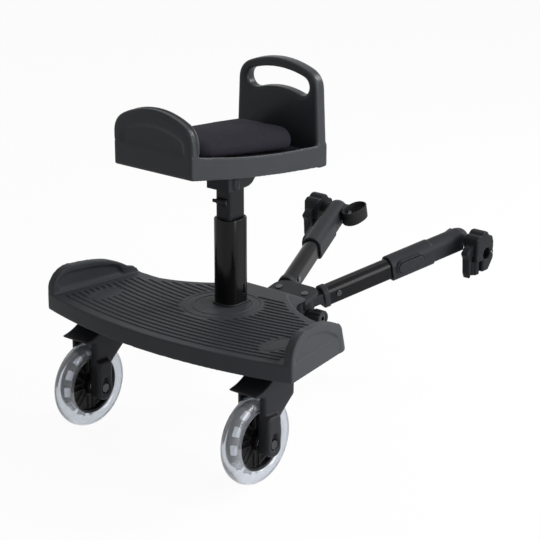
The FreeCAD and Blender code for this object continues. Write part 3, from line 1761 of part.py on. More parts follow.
def seat_cushion():
    """Crowned pad with drawn-in sides that lies in the seat's tray."""
    wires = []
    for tuck, crown, rise in CUSHION_LEVEL_SHARES:
        wire = cushion_wire(s.cushion_thick.value * rise, tuck, crown)
        wire.rotate(Vector(), Vector(1, 0, 0), s.cushion_wedge.value * rise)
        wires.append(wire)
    pad = doc.addObject("Part::Feature", "pad")
    pad.Shape = Part.makeLoft(wires, True, False)
    middle = ahead((s.cushion_rear + s.cushion_front) / 2)
    lift = seat_level(middle) + floor_high + head_tilt * 2 + s.seat_screw_thick + s.cushion_lift
    tilt = FreeCAD.Rotation(Vector(1, 0, 0), math.degrees(math.atan(seat_slope)))
    pad.Placement = FreeCAD.Placement(Vector(0, middle.value, lift.value), tilt)
    return pad


keep("seat_shell", seat_shell())
keep("seat_bracket", seat_bracket())
keep("seat_screws", seat_screws())
keep("seat_cushion", seat_cushion())


def write_parts():
    doc.recompute()
    broken = []
    for item in doc.Objects:
        if "Invalid" in item.State or "Error" in item.State:
            users = [user.Label for user in item.InListRecursive if user.Label in kept]
            broken.append(f"{item.Label} in {users}: {item.getStatusString()}")
    if broken:
        raise RuntimeError(f"not built: {broken}")
    for name, item in kept.items():
        shape = item.Shape
        if shape.isNull() or not shape.isValid() or not shape.Solids:
            raise RuntimeError(f"{name} has no valid solid")
    os.makedirs("parts", exist_ok=True)
    for name, item in kept.items():
        item.Shape.exportStep(f"parts/{name}.step")
        print(name, len(item.Shape.Solids), round(item.Shape.Volume))


write_parts()
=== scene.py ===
import json
import math

import bmesh
import bpy
import numpy as np
from bpy.props import FloatProperty, FloatVectorProperty, IntProperty, PointerProperty
from mathutils import Matrix, Vector
from mathutils.bvhtree import BVHTree

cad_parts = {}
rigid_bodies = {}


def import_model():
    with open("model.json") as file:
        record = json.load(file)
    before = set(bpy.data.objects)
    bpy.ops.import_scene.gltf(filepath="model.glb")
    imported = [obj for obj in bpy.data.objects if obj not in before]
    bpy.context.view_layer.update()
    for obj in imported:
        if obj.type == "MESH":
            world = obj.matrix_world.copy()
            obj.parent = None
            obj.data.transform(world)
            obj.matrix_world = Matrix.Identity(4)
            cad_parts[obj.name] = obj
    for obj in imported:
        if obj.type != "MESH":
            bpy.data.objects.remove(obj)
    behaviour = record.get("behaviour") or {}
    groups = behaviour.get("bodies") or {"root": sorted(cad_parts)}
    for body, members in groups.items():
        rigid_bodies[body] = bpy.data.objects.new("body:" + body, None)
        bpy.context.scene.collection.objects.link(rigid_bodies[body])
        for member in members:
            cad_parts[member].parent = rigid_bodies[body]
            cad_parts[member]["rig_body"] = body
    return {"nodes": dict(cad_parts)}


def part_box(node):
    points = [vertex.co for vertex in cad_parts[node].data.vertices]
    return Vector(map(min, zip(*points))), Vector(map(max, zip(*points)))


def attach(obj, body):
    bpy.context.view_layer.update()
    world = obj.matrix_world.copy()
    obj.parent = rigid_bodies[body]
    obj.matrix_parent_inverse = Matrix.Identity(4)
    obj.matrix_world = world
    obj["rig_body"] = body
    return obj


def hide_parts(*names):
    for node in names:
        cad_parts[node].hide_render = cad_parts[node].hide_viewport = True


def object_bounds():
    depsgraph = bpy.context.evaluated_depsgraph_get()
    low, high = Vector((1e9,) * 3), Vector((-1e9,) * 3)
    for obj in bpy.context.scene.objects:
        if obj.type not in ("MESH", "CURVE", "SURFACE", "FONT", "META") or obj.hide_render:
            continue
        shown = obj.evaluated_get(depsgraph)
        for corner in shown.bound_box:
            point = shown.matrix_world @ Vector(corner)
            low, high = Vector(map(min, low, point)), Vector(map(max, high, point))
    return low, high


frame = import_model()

bl_info = {
    "name": "Buggy board",
    "version": (1, 0, 0),
    "blender": (4, 5, 0),
    "location": "View3D > Sidebar > Buggy board",
    "description": "Ride-on board with a seat, dressed round its packed frame",
    "category": "Add Mesh",
}

CAD_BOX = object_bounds()
SIDES = ("right", "left")

# Places read from the frame
DECK_LOW, DECK_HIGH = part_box("deck_shell")
POST_LOW, POST_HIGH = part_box("post_outer")
POST_PLACE = (POST_LOW + POST_HIGH) / 2
TYRE_LOW, TYRE_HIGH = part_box("tyre_right")
WHEEL_CENTRE = (TYRE_LOW + TYRE_HIGH) / 2
WHEEL_RADIUS = (TYRE_HIGH.z - TYRE_LOW.z) / 2
RIM_LOW, RIM_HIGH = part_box("wheel_rim_right")
RIM_RADIUS = (RIM_HIGH.z - RIM_LOW.z) / 2


def length(label, text, value):
    return FloatProperty(name=label, description=text, default=value, min=0.0, precision=5, unit="LENGTH")


def share(label, text, value):
    return FloatProperty(name=label, description=text, default=value, min=0.0, max=1.0, subtype="FACTOR")


def count(label, text, value):
    return IntProperty(name=label, description=text, default=value, min=1)


def colour(label, text, value):
    return FloatVectorProperty(
        name=label, description=text, default=value, size=3, min=0.0, max=1.0, subtype="COLOR")


class BoardSizes(bpy.types.PropertyGroup):
    """Sizes of the board's visible detail."""

    deck_grid: length("Deck grid", "Grid of the deck's rounded skin", 0.0012)
    deck_rounds: count("Deck rounding", "Rounding passes over the deck's edges", 12)
    seat_grid: length("Seat grid", "Grid of the seat's rounded skin", 0.0012)
    seat_rounds: count("Seat rounding", "Rounding passes over the seat's edges", 18)
    fork_grid: length("Fork grid", "Grid of the caster forks' rounded skin", 0.0011)
    fork_rounds: count("Fork rounding", "Rounding passes over the forks' edges", 34)
    small_grid: length("Small grid", "Grid of the small mouldings' rounded skin", 0.0007)
    small_rounds: count("Small rounding", "Rounding passes over the small mouldings", 4)
    cap_rounds: count("Cap rounding", "Rounding passes over the hub's cover", 9)
    clamp_rounds: count("Clamp rounding", "Rounding passes over the clamps", 18)
    clamp_swell: length("Clamp swell", "How much fuller the clamps are than their solids", 0.0011)
    kept_share: share("Kept share", "Share of a rounded skin's faces that are kept", 0.22)
    ridge_count: count("Ridges", "Number of anti-slip ridges", 20)
    ridge_pitch: length("Ridge pitch", "Distance from ridge to ridge", 0.0097)
    ridge_width: length("Ridge width", "Width of one ridge", 0.0046)
    ridge_height: length("Ridge height", "Height of one ridge over the deck", 0.0012)
    ridge_margin: length("Ridge margin", "Plain border of the deck", 0.015)
    ridge_step: length("Ridge step", "Length of one facet along a ridge", 0.002)
    rear_bow: length("Rear bow", "Depth of the bow of the deck's rear edge", 0.032)
    deck_top: length("Deck top", "Height of the deck's top face", 0.176)
    disc_radius: length("Disc radius", "Plain disc round the post", 0.056)
    disc_setback: length("Disc setback", "How far the disc's middle lies behind the post", 0.017)
    oval_length: length("Oval length", "Half length of the plain ovals by the kick plates", 0.030)
    oval_width: length("Oval width", "Half width of the plain ovals", 0.015)
    oval_across: length("Oval across", "Distance of the ovals from the middle line", 0.150)
    oval_ahead: length("Oval ahead", "Distance of the ovals ahead of the axles", 0.042)
    ring_wire: length("Ring width", "Half width of the raised ring round a plain field", 0.0009)
    tyre_parts: count("Tyre facets", "Facets round a tyre", 128)
    light_parts: count("Light units", "Frosted light units in each tyre", 12)
    cushion_grid: length("Cushion grid", "Grid of the cushion's cloth", 0.005)
    cushion_cap: length("Cushion swell", "Most that the cloth may swell", 0.007)
    strap_edge: length("Strap edge", "Rounding of the strap's edges", 0.0007)


class BoardColours(bpy.types.PropertyGroup):
    """Colours of the board's finishes."""

    deck: colour("Deck", "Moulded deck", (0.0420, 0.0436, 0.0486))
    seat: colour("Seat", "Moulded seat", (0.0315, 0.0336, 0.0376))
    fork: colour("Forks", "Caster forks", (0.0175, 0.0182, 0.0212))
    rim: colour("Rims", "Wheel rims", (0.006, 0.006, 0.0068))
    tyre: colour("Tyres", "Clear tyres", (0.72, 0.76, 0.83))
    light: colour("Light units", "Frosted light units", (0.80, 0.83, 0.87))
    post: colour("Post", "Glossy outer post", (0.0050, 0.0051, 0.0058))
    inner_post: colour("Inner post", "Satin inner post", (0.0100, 0.0105, 0.0120))
    arm_paint: colour("Arm tubes", "Painted arm tubes", (0.0075, 0.0077, 0.0088))
    arm_plastic: colour("Arm mouldings", "Sleeves and hub", (0.0245, 0.0256, 0.0288))
    clamp: colour("Clamps", "Tube clamps", (0.0100, 0.0106, 0.0128))
    cushion: colour("Cushion", "Cushion fabric", (0.0132, 0.0120, 0.0175))
    strap: colour("Strap", "Safety strap", (0.0075, 0.0075, 0.0085))
    steel: colour("Steel", "Bright screws and bearings", (0.62, 0.63, 0.65))
    dark_steel: colour("Dark steel", "Blackened pins and bolts", (0.075, 0.077, 0.083))


def sizes():
    return bpy.context.scene.board_sizes


def colours():
    return bpy.context.scene.board_colours


# Node helpers

# Sockets of a colour mix: first colour, second colour and result.
MIX_FIRST, MIX_SECOND, MIX_RESULT = 6, 7, 2
# Noises: scale, detail and roughness. Those without a scale get theirs from the effect.
NOISES = {
    "grain": (None, 3.0, 0.65),
    "slow tone": (9.0, 2.0, 0.5),
    "tone patch": (38.0, 4.0, 0.6),
    "edge patches": (140.0, 4.0, 0.7),
    "hair": (None, 2.0, 0.5),
    "scuff place": (None, 3.0, 0.6),
    "loose thread": (420.0, 3.0, 0.6),
    "lathe line": (260.0, 3.0, 0.6),
    "stain": (55.0, 4.0, 0.6),
    "gel cloud": (70.0, 4.0, 0.6),
    "gel gloss": (160.0, 3.0, 0.6),
    "gel wave": (120.0, 2.0, 0.5),
    "frost": (900.0, 4.0, 0.7),
    "nap": (26.0, 4.0, 0.6),
}


def put(thing, **fields):
    """Set several fields of a thing."""
    for field, value in fields.items():
        setattr(thing, field, value)
    return thing


def feed(tree, socket, value):
    """Link a socket to another, or give it a plain value."""
    if isinstance(value, bpy.types.NodeSocket):
        tree.links.new(value, socket)
    else:
        socket.default_value = value


def add(tree, kind, inputs=None, **settings):
    made = put(tree.nodes.new("ShaderNode" + kind), **settings)
    for field, value in (inputs or {}).items():
        feed(tree, made.inputs[field], value)
    return made


def work(tree, operation, *values):
    """Output of a math node on numbers or sockets."""
    return add(tree, "Math", dict(enumerate(values)), operation=operation).outputs[0]


def spread(tree, value, low, high):
    """A value from 0 to 1 stretched to lie from low to high."""
    ends = {"Value": value, "To Min": low, "To Max": high}
    return add(tree, "MapRange", ends, clamp=True).outputs["Result"]


def swing(tree, value, reach):
    """A value from 0 to 1 moved to lie about 0, times a reach."""
    return work(tree, "MULTIPLY", work(tree, "SUBTRACT", value, 0.5), reach)


def blend(tree, factor, first, second):
    inputs = {"Factor": factor, MIX_FIRST: first, MIX_SECOND: second}
    return add(tree, "Mix", inputs, data_type="RGBA").outputs[MIX_RESULT]


def gain(tree, tint, factor):
    """A colour socket made lighter or darker."""
    return add(tree, "VectorMath", {0: tint, "Scale": factor}, operation="SCALE").outputs[0]


def noise(tree, place, kind, scale=None):
    own_scale, detail, roughness = NOISES[kind]
    return add(tree, "TexNoise", {
        "Vector": place, "Scale": own_scale if scale is None else scale, "Detail": detail,
        "Roughness": roughness}).outputs["Fac"]


def object_place(tree):
    return add(tree, "TexCoord").outputs["Object"]


def bump(tree, shader, height, strength, distance, normal=None):
    """Let a height dent a material's surface."""
    made = add(tree, "Bump", {"Strength": strength, "Distance": distance, "Height": height})
    if normal is not None:
        feed(tree, made.inputs["Normal"], normal)
    feed(tree, shader["Normal"], made.outputs[0])


def dress(tree, shader, tint, roughness):
    feed(tree, shader["Base Color"], tint)
    feed(tree, shader["Roughness"], roughness)


def new_effect(name, inputs, outputs):
    """Shader node group with named sockets; returns its tree, what it is given and what it takes out."""
    tree = bpy.data.node_groups.new(name, "ShaderNodeTree")
    for label, value in inputs.items():
        kind = "NodeSocketColor" if isinstance(value, tuple) else "NodeSocketFloat"
        tree.interface.new_socket(label, in_out="INPUT", socket_type=kind).default_value = value
    for label, kind in outputs.items():
        tree.interface.new_socket(label, in_out="OUTPUT", socket_type="NodeSocket" + kind)
    given = tree.nodes.new("NodeGroupInput").outputs
    taken = tree.nodes.new("NodeGroupOutput").inputs
    return tree, given, taken


def place_effect(tree, name, **values):
    """Place a shared effect, built the first time that it is asked for."""
    made = tree.nodes.new("ShaderNodeGroup")
    made.node_tree = bpy.data.node_groups.get(name) or EFFECTS[name](name)
    for label, value in values.items():
        feed(tree, made.inputs[label.replace("_", " ")], value)
    return made.outputs


# Shared effects

SLOW_SHARE, PATCH_SHARE = 0.6, 0.4
TONE_GAIN = 2.0
EDGE_SAMPLES = 6
EDGE_STEEPNESS = 6.0
# Hair scratches: stretch of the noise, turn in the plane and fineness.
HAIRS = (((1.0, 0.06, 1.0), 0.6, 6.0), ((0.07, 1.0, 1.0), -0.4, 5.0))
HAIR_LEVEL = 0.70
SCUFF_LEVEL = 0.55
CROSSING_SHARE = 0.4
THREAD_SHARE = 0.5
LATHE_STRETCH = (14.0, 1.0, 1.0)


def moulded_grain(name):
    """Spark-eroded grain of moulded plastic, with slow changes of tone and gloss."""
    tree, given, taken = new_effect(
        name,
        {"Colour": (0.02, 0.02, 0.02, 1.0), "Roughness": 0.45, "Grain": 900.0, "Tone Range": 0.16,
         "Gloss Range": 0.10},
        {"Colour": "Color", "Roughness": "Float", "Height": "Float"})
    place = object_place(tree)
    fine = noise(tree, place, "grain", given["Grain"])
    slow = noise(tree, place, "slow tone")
    patch = noise(tree, place, "tone patch")
    tone = work(tree, "ADD", work(tree, "MULTIPLY", slow, SLOW_SHARE),
                work(tree, "MULTIPLY", patch, PATCH_SHARE))
    shift = work(tree, "MULTIPLY", swing(tree, tone, given["Tone Range"]), TONE_GAIN)
    speck = swing(tree, fine, given["Tone Range"])
    factor = work(tree, "ADD", 1.0, work(tree, "ADD", shift, speck))
    feed(tree, taken["Colour"], gain(tree, given["Colour"], factor))
    gloss = swing(tree, patch, given["Gloss Range"])
    feed(tree, taken["Roughness"], work(tree, "ADD", given["Roughness"], gloss))
    feed(tree, taken["Height"], fine)
    return tree


def worn_and_highlit_edges(name):
    """Rounded normals along edges and a mask of the edges that hands and feet rub; the mouldings also lighten
    their colour under this mask as a painted highlight along the edges.
    """
    tree, given, taken = new_effect(
        name, {"Radius": 0.001, "Amount": 0.5}, {"Mask": "Float", "Normal": "Vector"})
    rounded = add(tree, "Bevel", {"Radius": given["Radius"]}, samples=EDGE_SAMPLES).outputs[0]
    flat = add(tree, "NewGeometry").outputs["Normal"]
    facing = add(tree, "VectorMath", {0: rounded, 1: flat}, operation="DOT_PRODUCT").outputs["Value"]
    turn = work(tree, "MULTIPLY", work(tree, "SUBTRACT", 1.0, facing), EDGE_STEEPNESS)
    # Patchy along the edges; in the mouldings this mask marks both worn edges and a painted highlight on
    # them.
    patches = spread(tree, noise(tree, object_place(tree), "edge patches"), low=0.2, high=1.2)
    mask = work(tree, "MULTIPLY", turn, patches)
    limited = work(tree, "MINIMUM", work(tree, "MAXIMUM", mask, 0.0), 1.0)
    feed(tree, taken["Mask"], work(tree, "MULTIPLY", limited, given["Amount"]))
    feed(tree, taken["Normal"], rounded)
    return tree


def fine_scuffs(name):
    """Sparse hair scratches and rub marks."""
    tree, given, taken = new_effect(name, {"Amount": 0.3, "Scale": 60.0}, {"Mask": "Float"})
    place = object_place(tree)
    hairs = []
    for stretch, turn, fineness in HAIRS:
        drawn = add(tree, "Mapping", {"Vector": place, "Scale": stretch, "Rotation": (0.0, 0.0, turn)})
        scale = work(tree, "MULTIPLY", given["Scale"], fineness)
        hairs.append(noise(tree, drawn.outputs[0], "hair", scale))
    hair = work(tree, "GREATER_THAN", work(tree, "MAXIMUM", *hairs), HAIR_LEVEL)
    spot = work(tree, "GREATER_THAN", noise(tree, place, "scuff place", given["Scale"]), SCUFF_LEVEL)
    feed(tree, taken["Mask"], work(tree, "MULTIPLY", work(tree, "MULTIPLY", hair, spot), given["Amount"]))
    return tree


def woven_threads(name):
    """Plain weave: crossing threads as a height and a tone."""
    tree, given, taken = new_effect(name, {"Thread": 0.0009}, {"Height": "Float", "Tone": "Float"})
    place = object_place(tree)
    parts = add(tree, "SeparateXYZ", {"Vector": place}).outputs
    rate = work(tree, "DIVIDE", math.pi, given["Thread"])
    waves = []
    for mix, axis in (("ADD", "X"), ("SUBTRACT", "Y")):
        across = work(tree, "MULTIPLY", work(tree, mix, parts[axis], parts["Z"]), rate)
        waves.append(work(tree, "SINE", across))
    over = work(tree, "MULTIPLY", *waves)
    height = work(tree, "ADD", work(tree, "ABSOLUTE", over), work(tree, "MULTIPLY", over, CROSSING_SHARE))
    feed(tree, taken["Height"], height)
    loose = work(tree, "MULTIPLY", noise(tree, place, "loose thread"), THREAD_SHARE)
    feed(tree, taken["Tone"], work(tree, "ADD", work(tree, "MULTIPLY", height, THREAD_SHARE), loose))
    return tree


def turned_steel(name):
    """Fine lathe lines and faint staining on steel."""
    tree, given, taken = new_effect(
        name, {"Colour": (0.6, 0.6, 0.6, 1.0), "Roughness": 0.28},
        {"Colour": "Color", "Roughness": "Float", "Height": "Float"})
    place = object_place(tree)
    drawn = add(tree, "Mapping", {"Vector": place, "Scale": LATHE_STRETCH}).outputs[0]
    lines = noise(tree, drawn, "lathe line")
    stain = spread(tree, noise(tree, place, "stain"), low=0.72, high=1.18)
    feed(tree, taken["Colour"], gain(tree, given["Colour"], stain))
    gloss = spread(tree, lines, low=-0.08, high=0.12)
    feed(tree, taken["Roughness"], work(tree, "ADD", given["Roughness"], gloss))
    feed(tree, taken["Height"], lines)
    return tree


EFFECTS = {
    "moulded grain": moulded_grain,
    "worn edges": worn_and_highlit_edges,
    "fine scuffs": fine_scuffs,
    "woven threads": woven_threads,
    "turned steel": turned_steel,
}


# Materials

# Mouldings: colour, roughness, shine, grain and its depth, edge radius, scuffs and gain of the edges' lighter
# colour, which is partly wear and partly a painted highlight.
MOULDINGS = {
    "deck_moulding": ("deck", 0.50, 0.09, 1100.0, 0.00012, 0.0016, 0.10, 3.2),
    "seat_moulding": ("seat", 0.34, 0.14, 1200.0, 0.00010, 0.0022, 0.06, 5.0),
    "fork_moulding": ("fork", 0.44, 0.12, 1200.0, 0.00010, 0.0030, 0.08, 2.4),
    "rim_moulding": ("rim", 0.34, 0.16, 1500.0, 0.00006, 0.0008, 0.06, 6.0),
    "arm_moulding": ("arm_plastic", 0.46, 0.08, 1300.0, 0.00010, 0.0009, 0.08, 2.4),
    "clamp_moulding": ("clamp", 0.42, 0.10, 1300.0, 0.00010, 0.0009, 0.08, 2.4),
}
# Sprayed tubes: colour, roughness and shine, and what they all share.
TUBES = {
    "post_lacquer": ("post", 0.16, 0.17),
    "inner_post_satin": ("inner_post", 0.34, 0.14),
    "arm_lacquer": ("arm_paint", 0.20, 0.12),
}
# What the sprayed tubes share; the edge gain lightens their edges, partly as wear and partly as a painted
# highlight.
SPRAYED = {
    "grain": 520.0, "depth": 0.0001, "edge": 0.0010, "scuff": 0.10, "wear_and_highlight_gain": 3.0, "gloss_range": 0.06,
    "edge_amount": 0.35, "scuff_scale": 40.0, "scuff_dulls": 0.25, "edge_shines": 0.0, "dents": 0.12}
# Steels: colour and roughness.
STEELS = {"bright_steel": ("steel", 0.24), "dark_steel": ("dark_steel", 0.16)}
STEEL_EDGE_GAIN = 1.35
GEL_DEPTH_SHADE = 0.80
FROST_SHADE = 0.55
CUSHION_DIM, CUSHION_WORN = 0.72, 1.25
STRAP_DIM, STRAP_WORN = 0.6, 2.2


def new_material(name, plain):
    """Material with plain values on its shader; returns it, its tree and the shader's inputs."""
    made = bpy.data.materials.new(name)
    made.use_nodes = True
    shader = next(node for node in made.node_tree.nodes if node.type == "BSDF_PRINCIPLED")
    for label, value in plain.items():
        shader.inputs[label].default_value = value
    return made, made.node_tree, shader.inputs


def shade(tint, factor=1.0):
    """A plain colour for a socket, made lighter or darker."""
    return (*(part * factor for part in tint), 1.0)


def skinned(name, tint, roughness, shine, grain, depth, edge, scuff, wear_and_highlight_gain, gloss_range=0.10,
            edge_amount=0.55, scuff_scale=60.0, scuff_dulls=0.20, edge_shines=0.24, dents=0.35):
    """Moulded plastic or sprayed metal: grain, edges lightened as wear and as a painted highlight, and a few
    scuffs.
    """
    made, tree, shader = new_material(name, {"Specular IOR Level": shine})
    skin = place_effect(tree, "moulded grain", Colour=shade(getattr(colours(), tint)), Roughness=roughness,
                        Grain=grain, Gloss_Range=gloss_range)
    edges = place_effect(tree, "worn edges", Radius=edge, Amount=edge_amount)
    marks = place_effect(tree, "fine scuffs", Amount=scuff, Scale=scuff_scale)
    # Lighter colour for the scuffs and the edges; along the edges it is partly wear and partly a painted
    # highlight.
    light = gain(tree, skin["Colour"], wear_and_highlight_gain)
    rubbed_and_highlit = blend(tree, edges["Mask"], skin["Colour"], light)
    dull = work(tree, "ADD", skin["Roughness"], work(tree, "MULTIPLY", marks["Mask"], scuff_dulls))
    polish = work(tree, "MULTIPLY", edges["Mask"], edge_shines)
    dress(tree, shader, blend(tree, marks["Mask"], rubbed_and_highlit, light), work(tree, "SUBTRACT", dull, polish))
    bump(tree, shader, skin["Height"], dents, depth, edges["Normal"])
    return made


def steel_finish(name, tint, roughness):
    """Turned steel with brighter edges."""
    made, tree, shader = new_material(name, {"Metallic": 1.0})
    turned = place_effect(tree, "turned steel", Colour=shade(getattr(colours(), tint)), Roughness=roughness)
    edges = place_effect(tree, "worn edges", Radius=0.0005, Amount=0.4)
    bright = gain(tree, turned["Colour"], STEEL_EDGE_GAIN)
    dress(tree, shader, blend(tree, edges["Mask"], turned["Colour"], bright), turned["Roughness"])
    bump(tree, shader, turned["Height"], strength=0.15, distance=0.00005, normal=edges["Normal"])
    return made


def tyre_gel(name):
    """Milky clear gel, faintly blue, cloudy inside and glossy outside."""
    made, tree, shader = new_material(name, {
        "Transmission Weight": 0.80, "IOR": 1.33, "Coat Weight": 0.6, "Coat Roughness": 0.06})
    place = object_place(tree)
    tint = colours().tyre
    cloud = noise(tree, place, "gel cloud")
    dress(tree, shader, blend(tree, cloud, shade(tint, GEL_DEPTH_SHADE), shade(tint)),
          spread(tree, noise(tree, place, "gel gloss"), low=0.12, high=0.26))
    bump(tree, shader, noise(tree, place, "gel wave"), strength=0.10, distance=0.0004)
    return made


def frosted_block(name):
    """Frosted block: pale, sparkling, lit through."""
    made, tree, shader = new_material(name, {})
    tint = colours().light
    frost = noise(tree, object_place(tree), "frost")
    sparkle = spread(tree, frost, low=0.0, high=1.3)
    dress(tree, shader, blend(tree, sparkle, shade(tint, FROST_SHADE), shade(tint)),
          spread(tree, frost, low=0.25, high=0.6))
    bump(tree, shader, frost, strength=0.5, distance=0.0004)
    return made


def cushion_cloth(name):
    """Dark woven cloth with an uneven nap."""
    made, tree, shader = new_material(name, {
        "Sheen Weight": 0.03, "Sheen Roughness": 0.4, "Sheen Tint": (0.60, 0.56, 0.72, 1.0),
        "Specular IOR Level": 0.12})
    tint = colours().cushion
    weave = place_effect(tree, "woven threads", Thread=0.0007)
    nap = noise(tree, object_place(tree), "nap")
    ground = blend(tree, weave["Tone"], shade(tint, CUSHION_DIM), shade(tint))
    worn = spread(tree, nap, low=0.0, high=0.7)
    dress(tree, shader, blend(tree, worn, ground, shade(tint, CUSHION_WORN)),
          spread(tree, nap, low=0.78, high=0.95))
    bump(tree, shader, weave["Height"], strength=0.35, distance=0.00025)
    return made


def strap_weave(name):
    """Dense webbing, rubbed along its edges."""
    made, tree, shader = new_material(name, {"Specular IOR Level": 0.15})
    tint = colours().strap
    weave = place_effect(tree, "woven threads", Thread=0.0011)
    edges = place_effect(tree, "worn edges", Radius=0.0006, Amount=0.5)
    ground = blend(tree, weave["Tone"], shade(tint, STRAP_DIM), shade(tint))
    dress(tree, shader, blend(tree, edges["Mask"], ground, shade(tint, STRAP_WORN)),
          spread(tree, weave["Tone"], low=0.62, high=0.48))
    bump(tree, shader, weave["Height"], strength=0.4, distance=0.0003, normal=edges["Normal"])
    return made


def finish(name):
    """A material of the board, made the first time that it is asked for."""
    made = bpy.data.materials.get(name)
    if made:
        return made
    if name in MOULDINGS:
        return skinned(name, *MOULDINGS[name])
    if name in TUBES:
        return skinned(name, *TUBES[name], **SPRAYED)
    if name in STEELS:
        return steel_finish(name, *STEELS[name])
    return OTHER_FINISHES[name](name)


OTHER_FINISHES = {
    "tyre_gel": tyre_gel, "frosted_block": frosted_block, "cushion_cloth": cushion_cloth,
    "strap_weave": strap_weave}


# Mesh helpers

WELD = 0.000002
ROUND_FACTOR = 0.5


def turns(parts):
    """Angles of equal steps round a circle."""
    return [2 * math.pi * index / parts for index in range(parts)]


def node_body(node):
    return frame["nodes"][node]["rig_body"]


def coat(mesh, name):
    """Give a mesh one finish alone."""
    mesh.materials.clear()
    mesh.materials.append(finish(name))


def paint(name, *nodes):
    """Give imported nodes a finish."""
    for node in nodes:
        coat(frame["nodes"][node].data, name)


def new_object(name, data):
    made = bpy.data.objects.new(name, data)
    bpy.context.scene.collection.objects.link(made)
    return made


def seat_on(piece, body, slot, *nodes):
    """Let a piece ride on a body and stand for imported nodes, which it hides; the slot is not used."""
    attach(piece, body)
    if nodes:
        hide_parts(*nodes)


def new_piece(name, mesh, material, body, slot, *nodes):
    """Make a piece of a mesh and seat it."""
    coat(mesh, material)
    seat_on(new_object(name, mesh), body, slot, *nodes)


def plain_mesh(name, shape):
    mesh = bpy.data.meshes.new(name)
    shape.to_mesh(mesh)
    shape.free()
    return mesh


def mesh_from(name, shape):
    """Mesh of a bmesh, smooth all over."""
    bmesh.ops.recalc_face_normals(shape, faces=shape.faces)
    mesh = plain_mesh(name, shape)
    mesh.shade_smooth()
    return mesh


def settle(piece):
    """Turn a piece's modifiers into its own mesh."""
    graph = bpy.context.evaluated_depsgraph_get()
    made = bpy.data.meshes.new_from_object(piece.evaluated_get(graph))
    piece.modifiers.clear()
    old = piece.data
    piece.data = made
    bpy.data.meshes.remove(old)


def welded_copy(node):
    """Copy of a node's mesh with the seams between its faces closed."""
    shape = bmesh.new()
    shape.from_mesh(frame["nodes"][node].data)
    bmesh.ops.remove_doubles(shape, verts=shape.verts, dist=WELD)
    return shape


def rounded_mesh(node, grid, rounds, prepare=None, swell=0.0):
    """A node's mesh with every edge rounded, as a mould leaves it."""
    shape = welded_copy(node)
    if prepare:
        prepare(shape)
    maker = new_object(node + "_maker", plain_mesh(node + "_rounded", shape))
    steps = maker.modifiers
    put(steps.new("skin", "REMESH"), mode="VOXEL", voxel_size=grid)
    put(steps.new("rounding", "SMOOTH"), factor=ROUND_FACTOR, iterations=rounds)
    if swell:
        put(steps.new("fuller", "DISPLACE"), mid_level=0.0, strength=swell)
    put(steps.new("thinning", "DECIMATE"), ratio=sizes().kept_share)
    settle(maker)
    made = maker.data
    bpy.data.objects.remove(maker)
    made.shade_smooth()
    return made


def rounded_piece(node, material, slot, grid, rounds, prepare=None, swell=0.0):
    mesh = rounded_mesh(node, grid, rounds, prepare, swell)
    new_piece(node + "_moulded", mesh, material, node_body(node), slot, node)


def arm_piece(node, rounds=None):
    """Small moulding of the arms and their hub."""
    own = sizes()
    rounded_piece(node, "arm_moulding", "arm_plastic", own.small_grid, rounds or own.small_rounds)


def round_section(half_x, half_y, corner, parts, marks=()):
    """Points of a round-cornered section; marks are further places on its two sides."""
    points = []
    for turn, side_x, side_y in ((0, 1, 1), (90, -1, 1), (180, -1, -1), (270, 1, -1)):
        if turn == 0:
            points += [(half_x, place) for place in marks]
        if turn == 180:
            points += [(-half_x, place) for place in reversed(marks)]
        for index in range(parts + 1):
            angle = math.radians(turn + 90 * index / parts)
            points.append((side_x * (half_x - corner) + corner * math.cos(angle),
                           side_y * (half_y - corner) + corner * math.sin(angle)))
    return points


def ring_strip(shape, loops, closed):
    """Join loops of points into a tube; closed tubes join their last loop to the first."""
    rows = [[shape.verts.new(point) for point in loop] for loop in loops]
    pairs = list(zip(rows, rows[1:]))
    if closed:
        pairs.append((rows[-1], rows[0]))
    for first, second in pairs:
        for index in range(len(first)):
            after = (index + 1) % len(first)
            shape.faces.new((first[index], first[after], second[after], second[index]))
    if not closed:
        shape.faces.new(rows[0])
        shape.faces.new(list(reversed(rows[-1])))


# Deck

RIDGE_PROFILE_SHARES = ((-1.0, -0.4), (-1.0, 0.05), (-0.8, 0.72), (-0.45, 1.0), (0.45, 1.0), (0.8, 0.72),
                        (1.0, 0.05), (1.0, -0.4))
# Front limit of the ridged field, from the middle outwards: places across and ahead of the axles.
RIDGE_FRONT = ((0.050, 0.176), (0.0800, 0.151), (0.130, 0.127), (0.168, 0.116), (0.187, 0.004))
RIDGE_TAPER = 0.004
RIDGE_END = 0.25
SHORTEST_RUN = 3
DISC_RING_INSETS = (0.004, 0.016)
OVAL_RING_INSET = 0.003
RING_FACETS = 96
RING_PARTS = 8
FLATTEN_TOLERANCE = 0.0001
# Lean of the kick plates' front ends: where it begins across, above the floor and ahead of the axles, the
# length over which it sets in, and its slope.
KICK_INNER = 0.1795
KICK_FOOT = 0.168
KICK_END = 0.085
KICK_BLEND = 0.045
KICK_LEAN = 0.48


def ridge_field(x, y):
    """True where the deck carries ridges."""
    own = sizes()
    across = abs(x)
    ahead = y - WHEEL_CENTRE.y
    if across > RIDGE_FRONT[-1][0] or ahead > np.interp(across, *zip(*RIDGE_FRONT)):
        return False
    if math.hypot(x, y - (POST_PLACE.y - own.disc_setback)) < own.disc_radius:
        return False
    oval_x = (across - own.oval_across) / own.oval_width
    oval_y = (ahead - own.oval_ahead) / own.oval_length
    return oval_x * oval_x + oval_y * oval_y > 1.0


def ridge_runs(radius, centre_y):
    """Unbroken stretches of one ridge, as lists of angles about the bow's centre."""
    own = sizes()
    step = own.ridge_step / radius
    half = math.asin(DECK_HIGH.x / radius)
    runs = [[]]
    for index in range(int(2 * half / step) + 1):
        angle = -half + index * step
        inside = ridge_field(radius * math.sin(angle), centre_y - radius * math.cos(angle))
        if inside:
            runs[-1].append(angle)
        elif runs[-1]:
            runs.append([])
    return [run for run in runs if len(run) > SHORTEST_RUN]


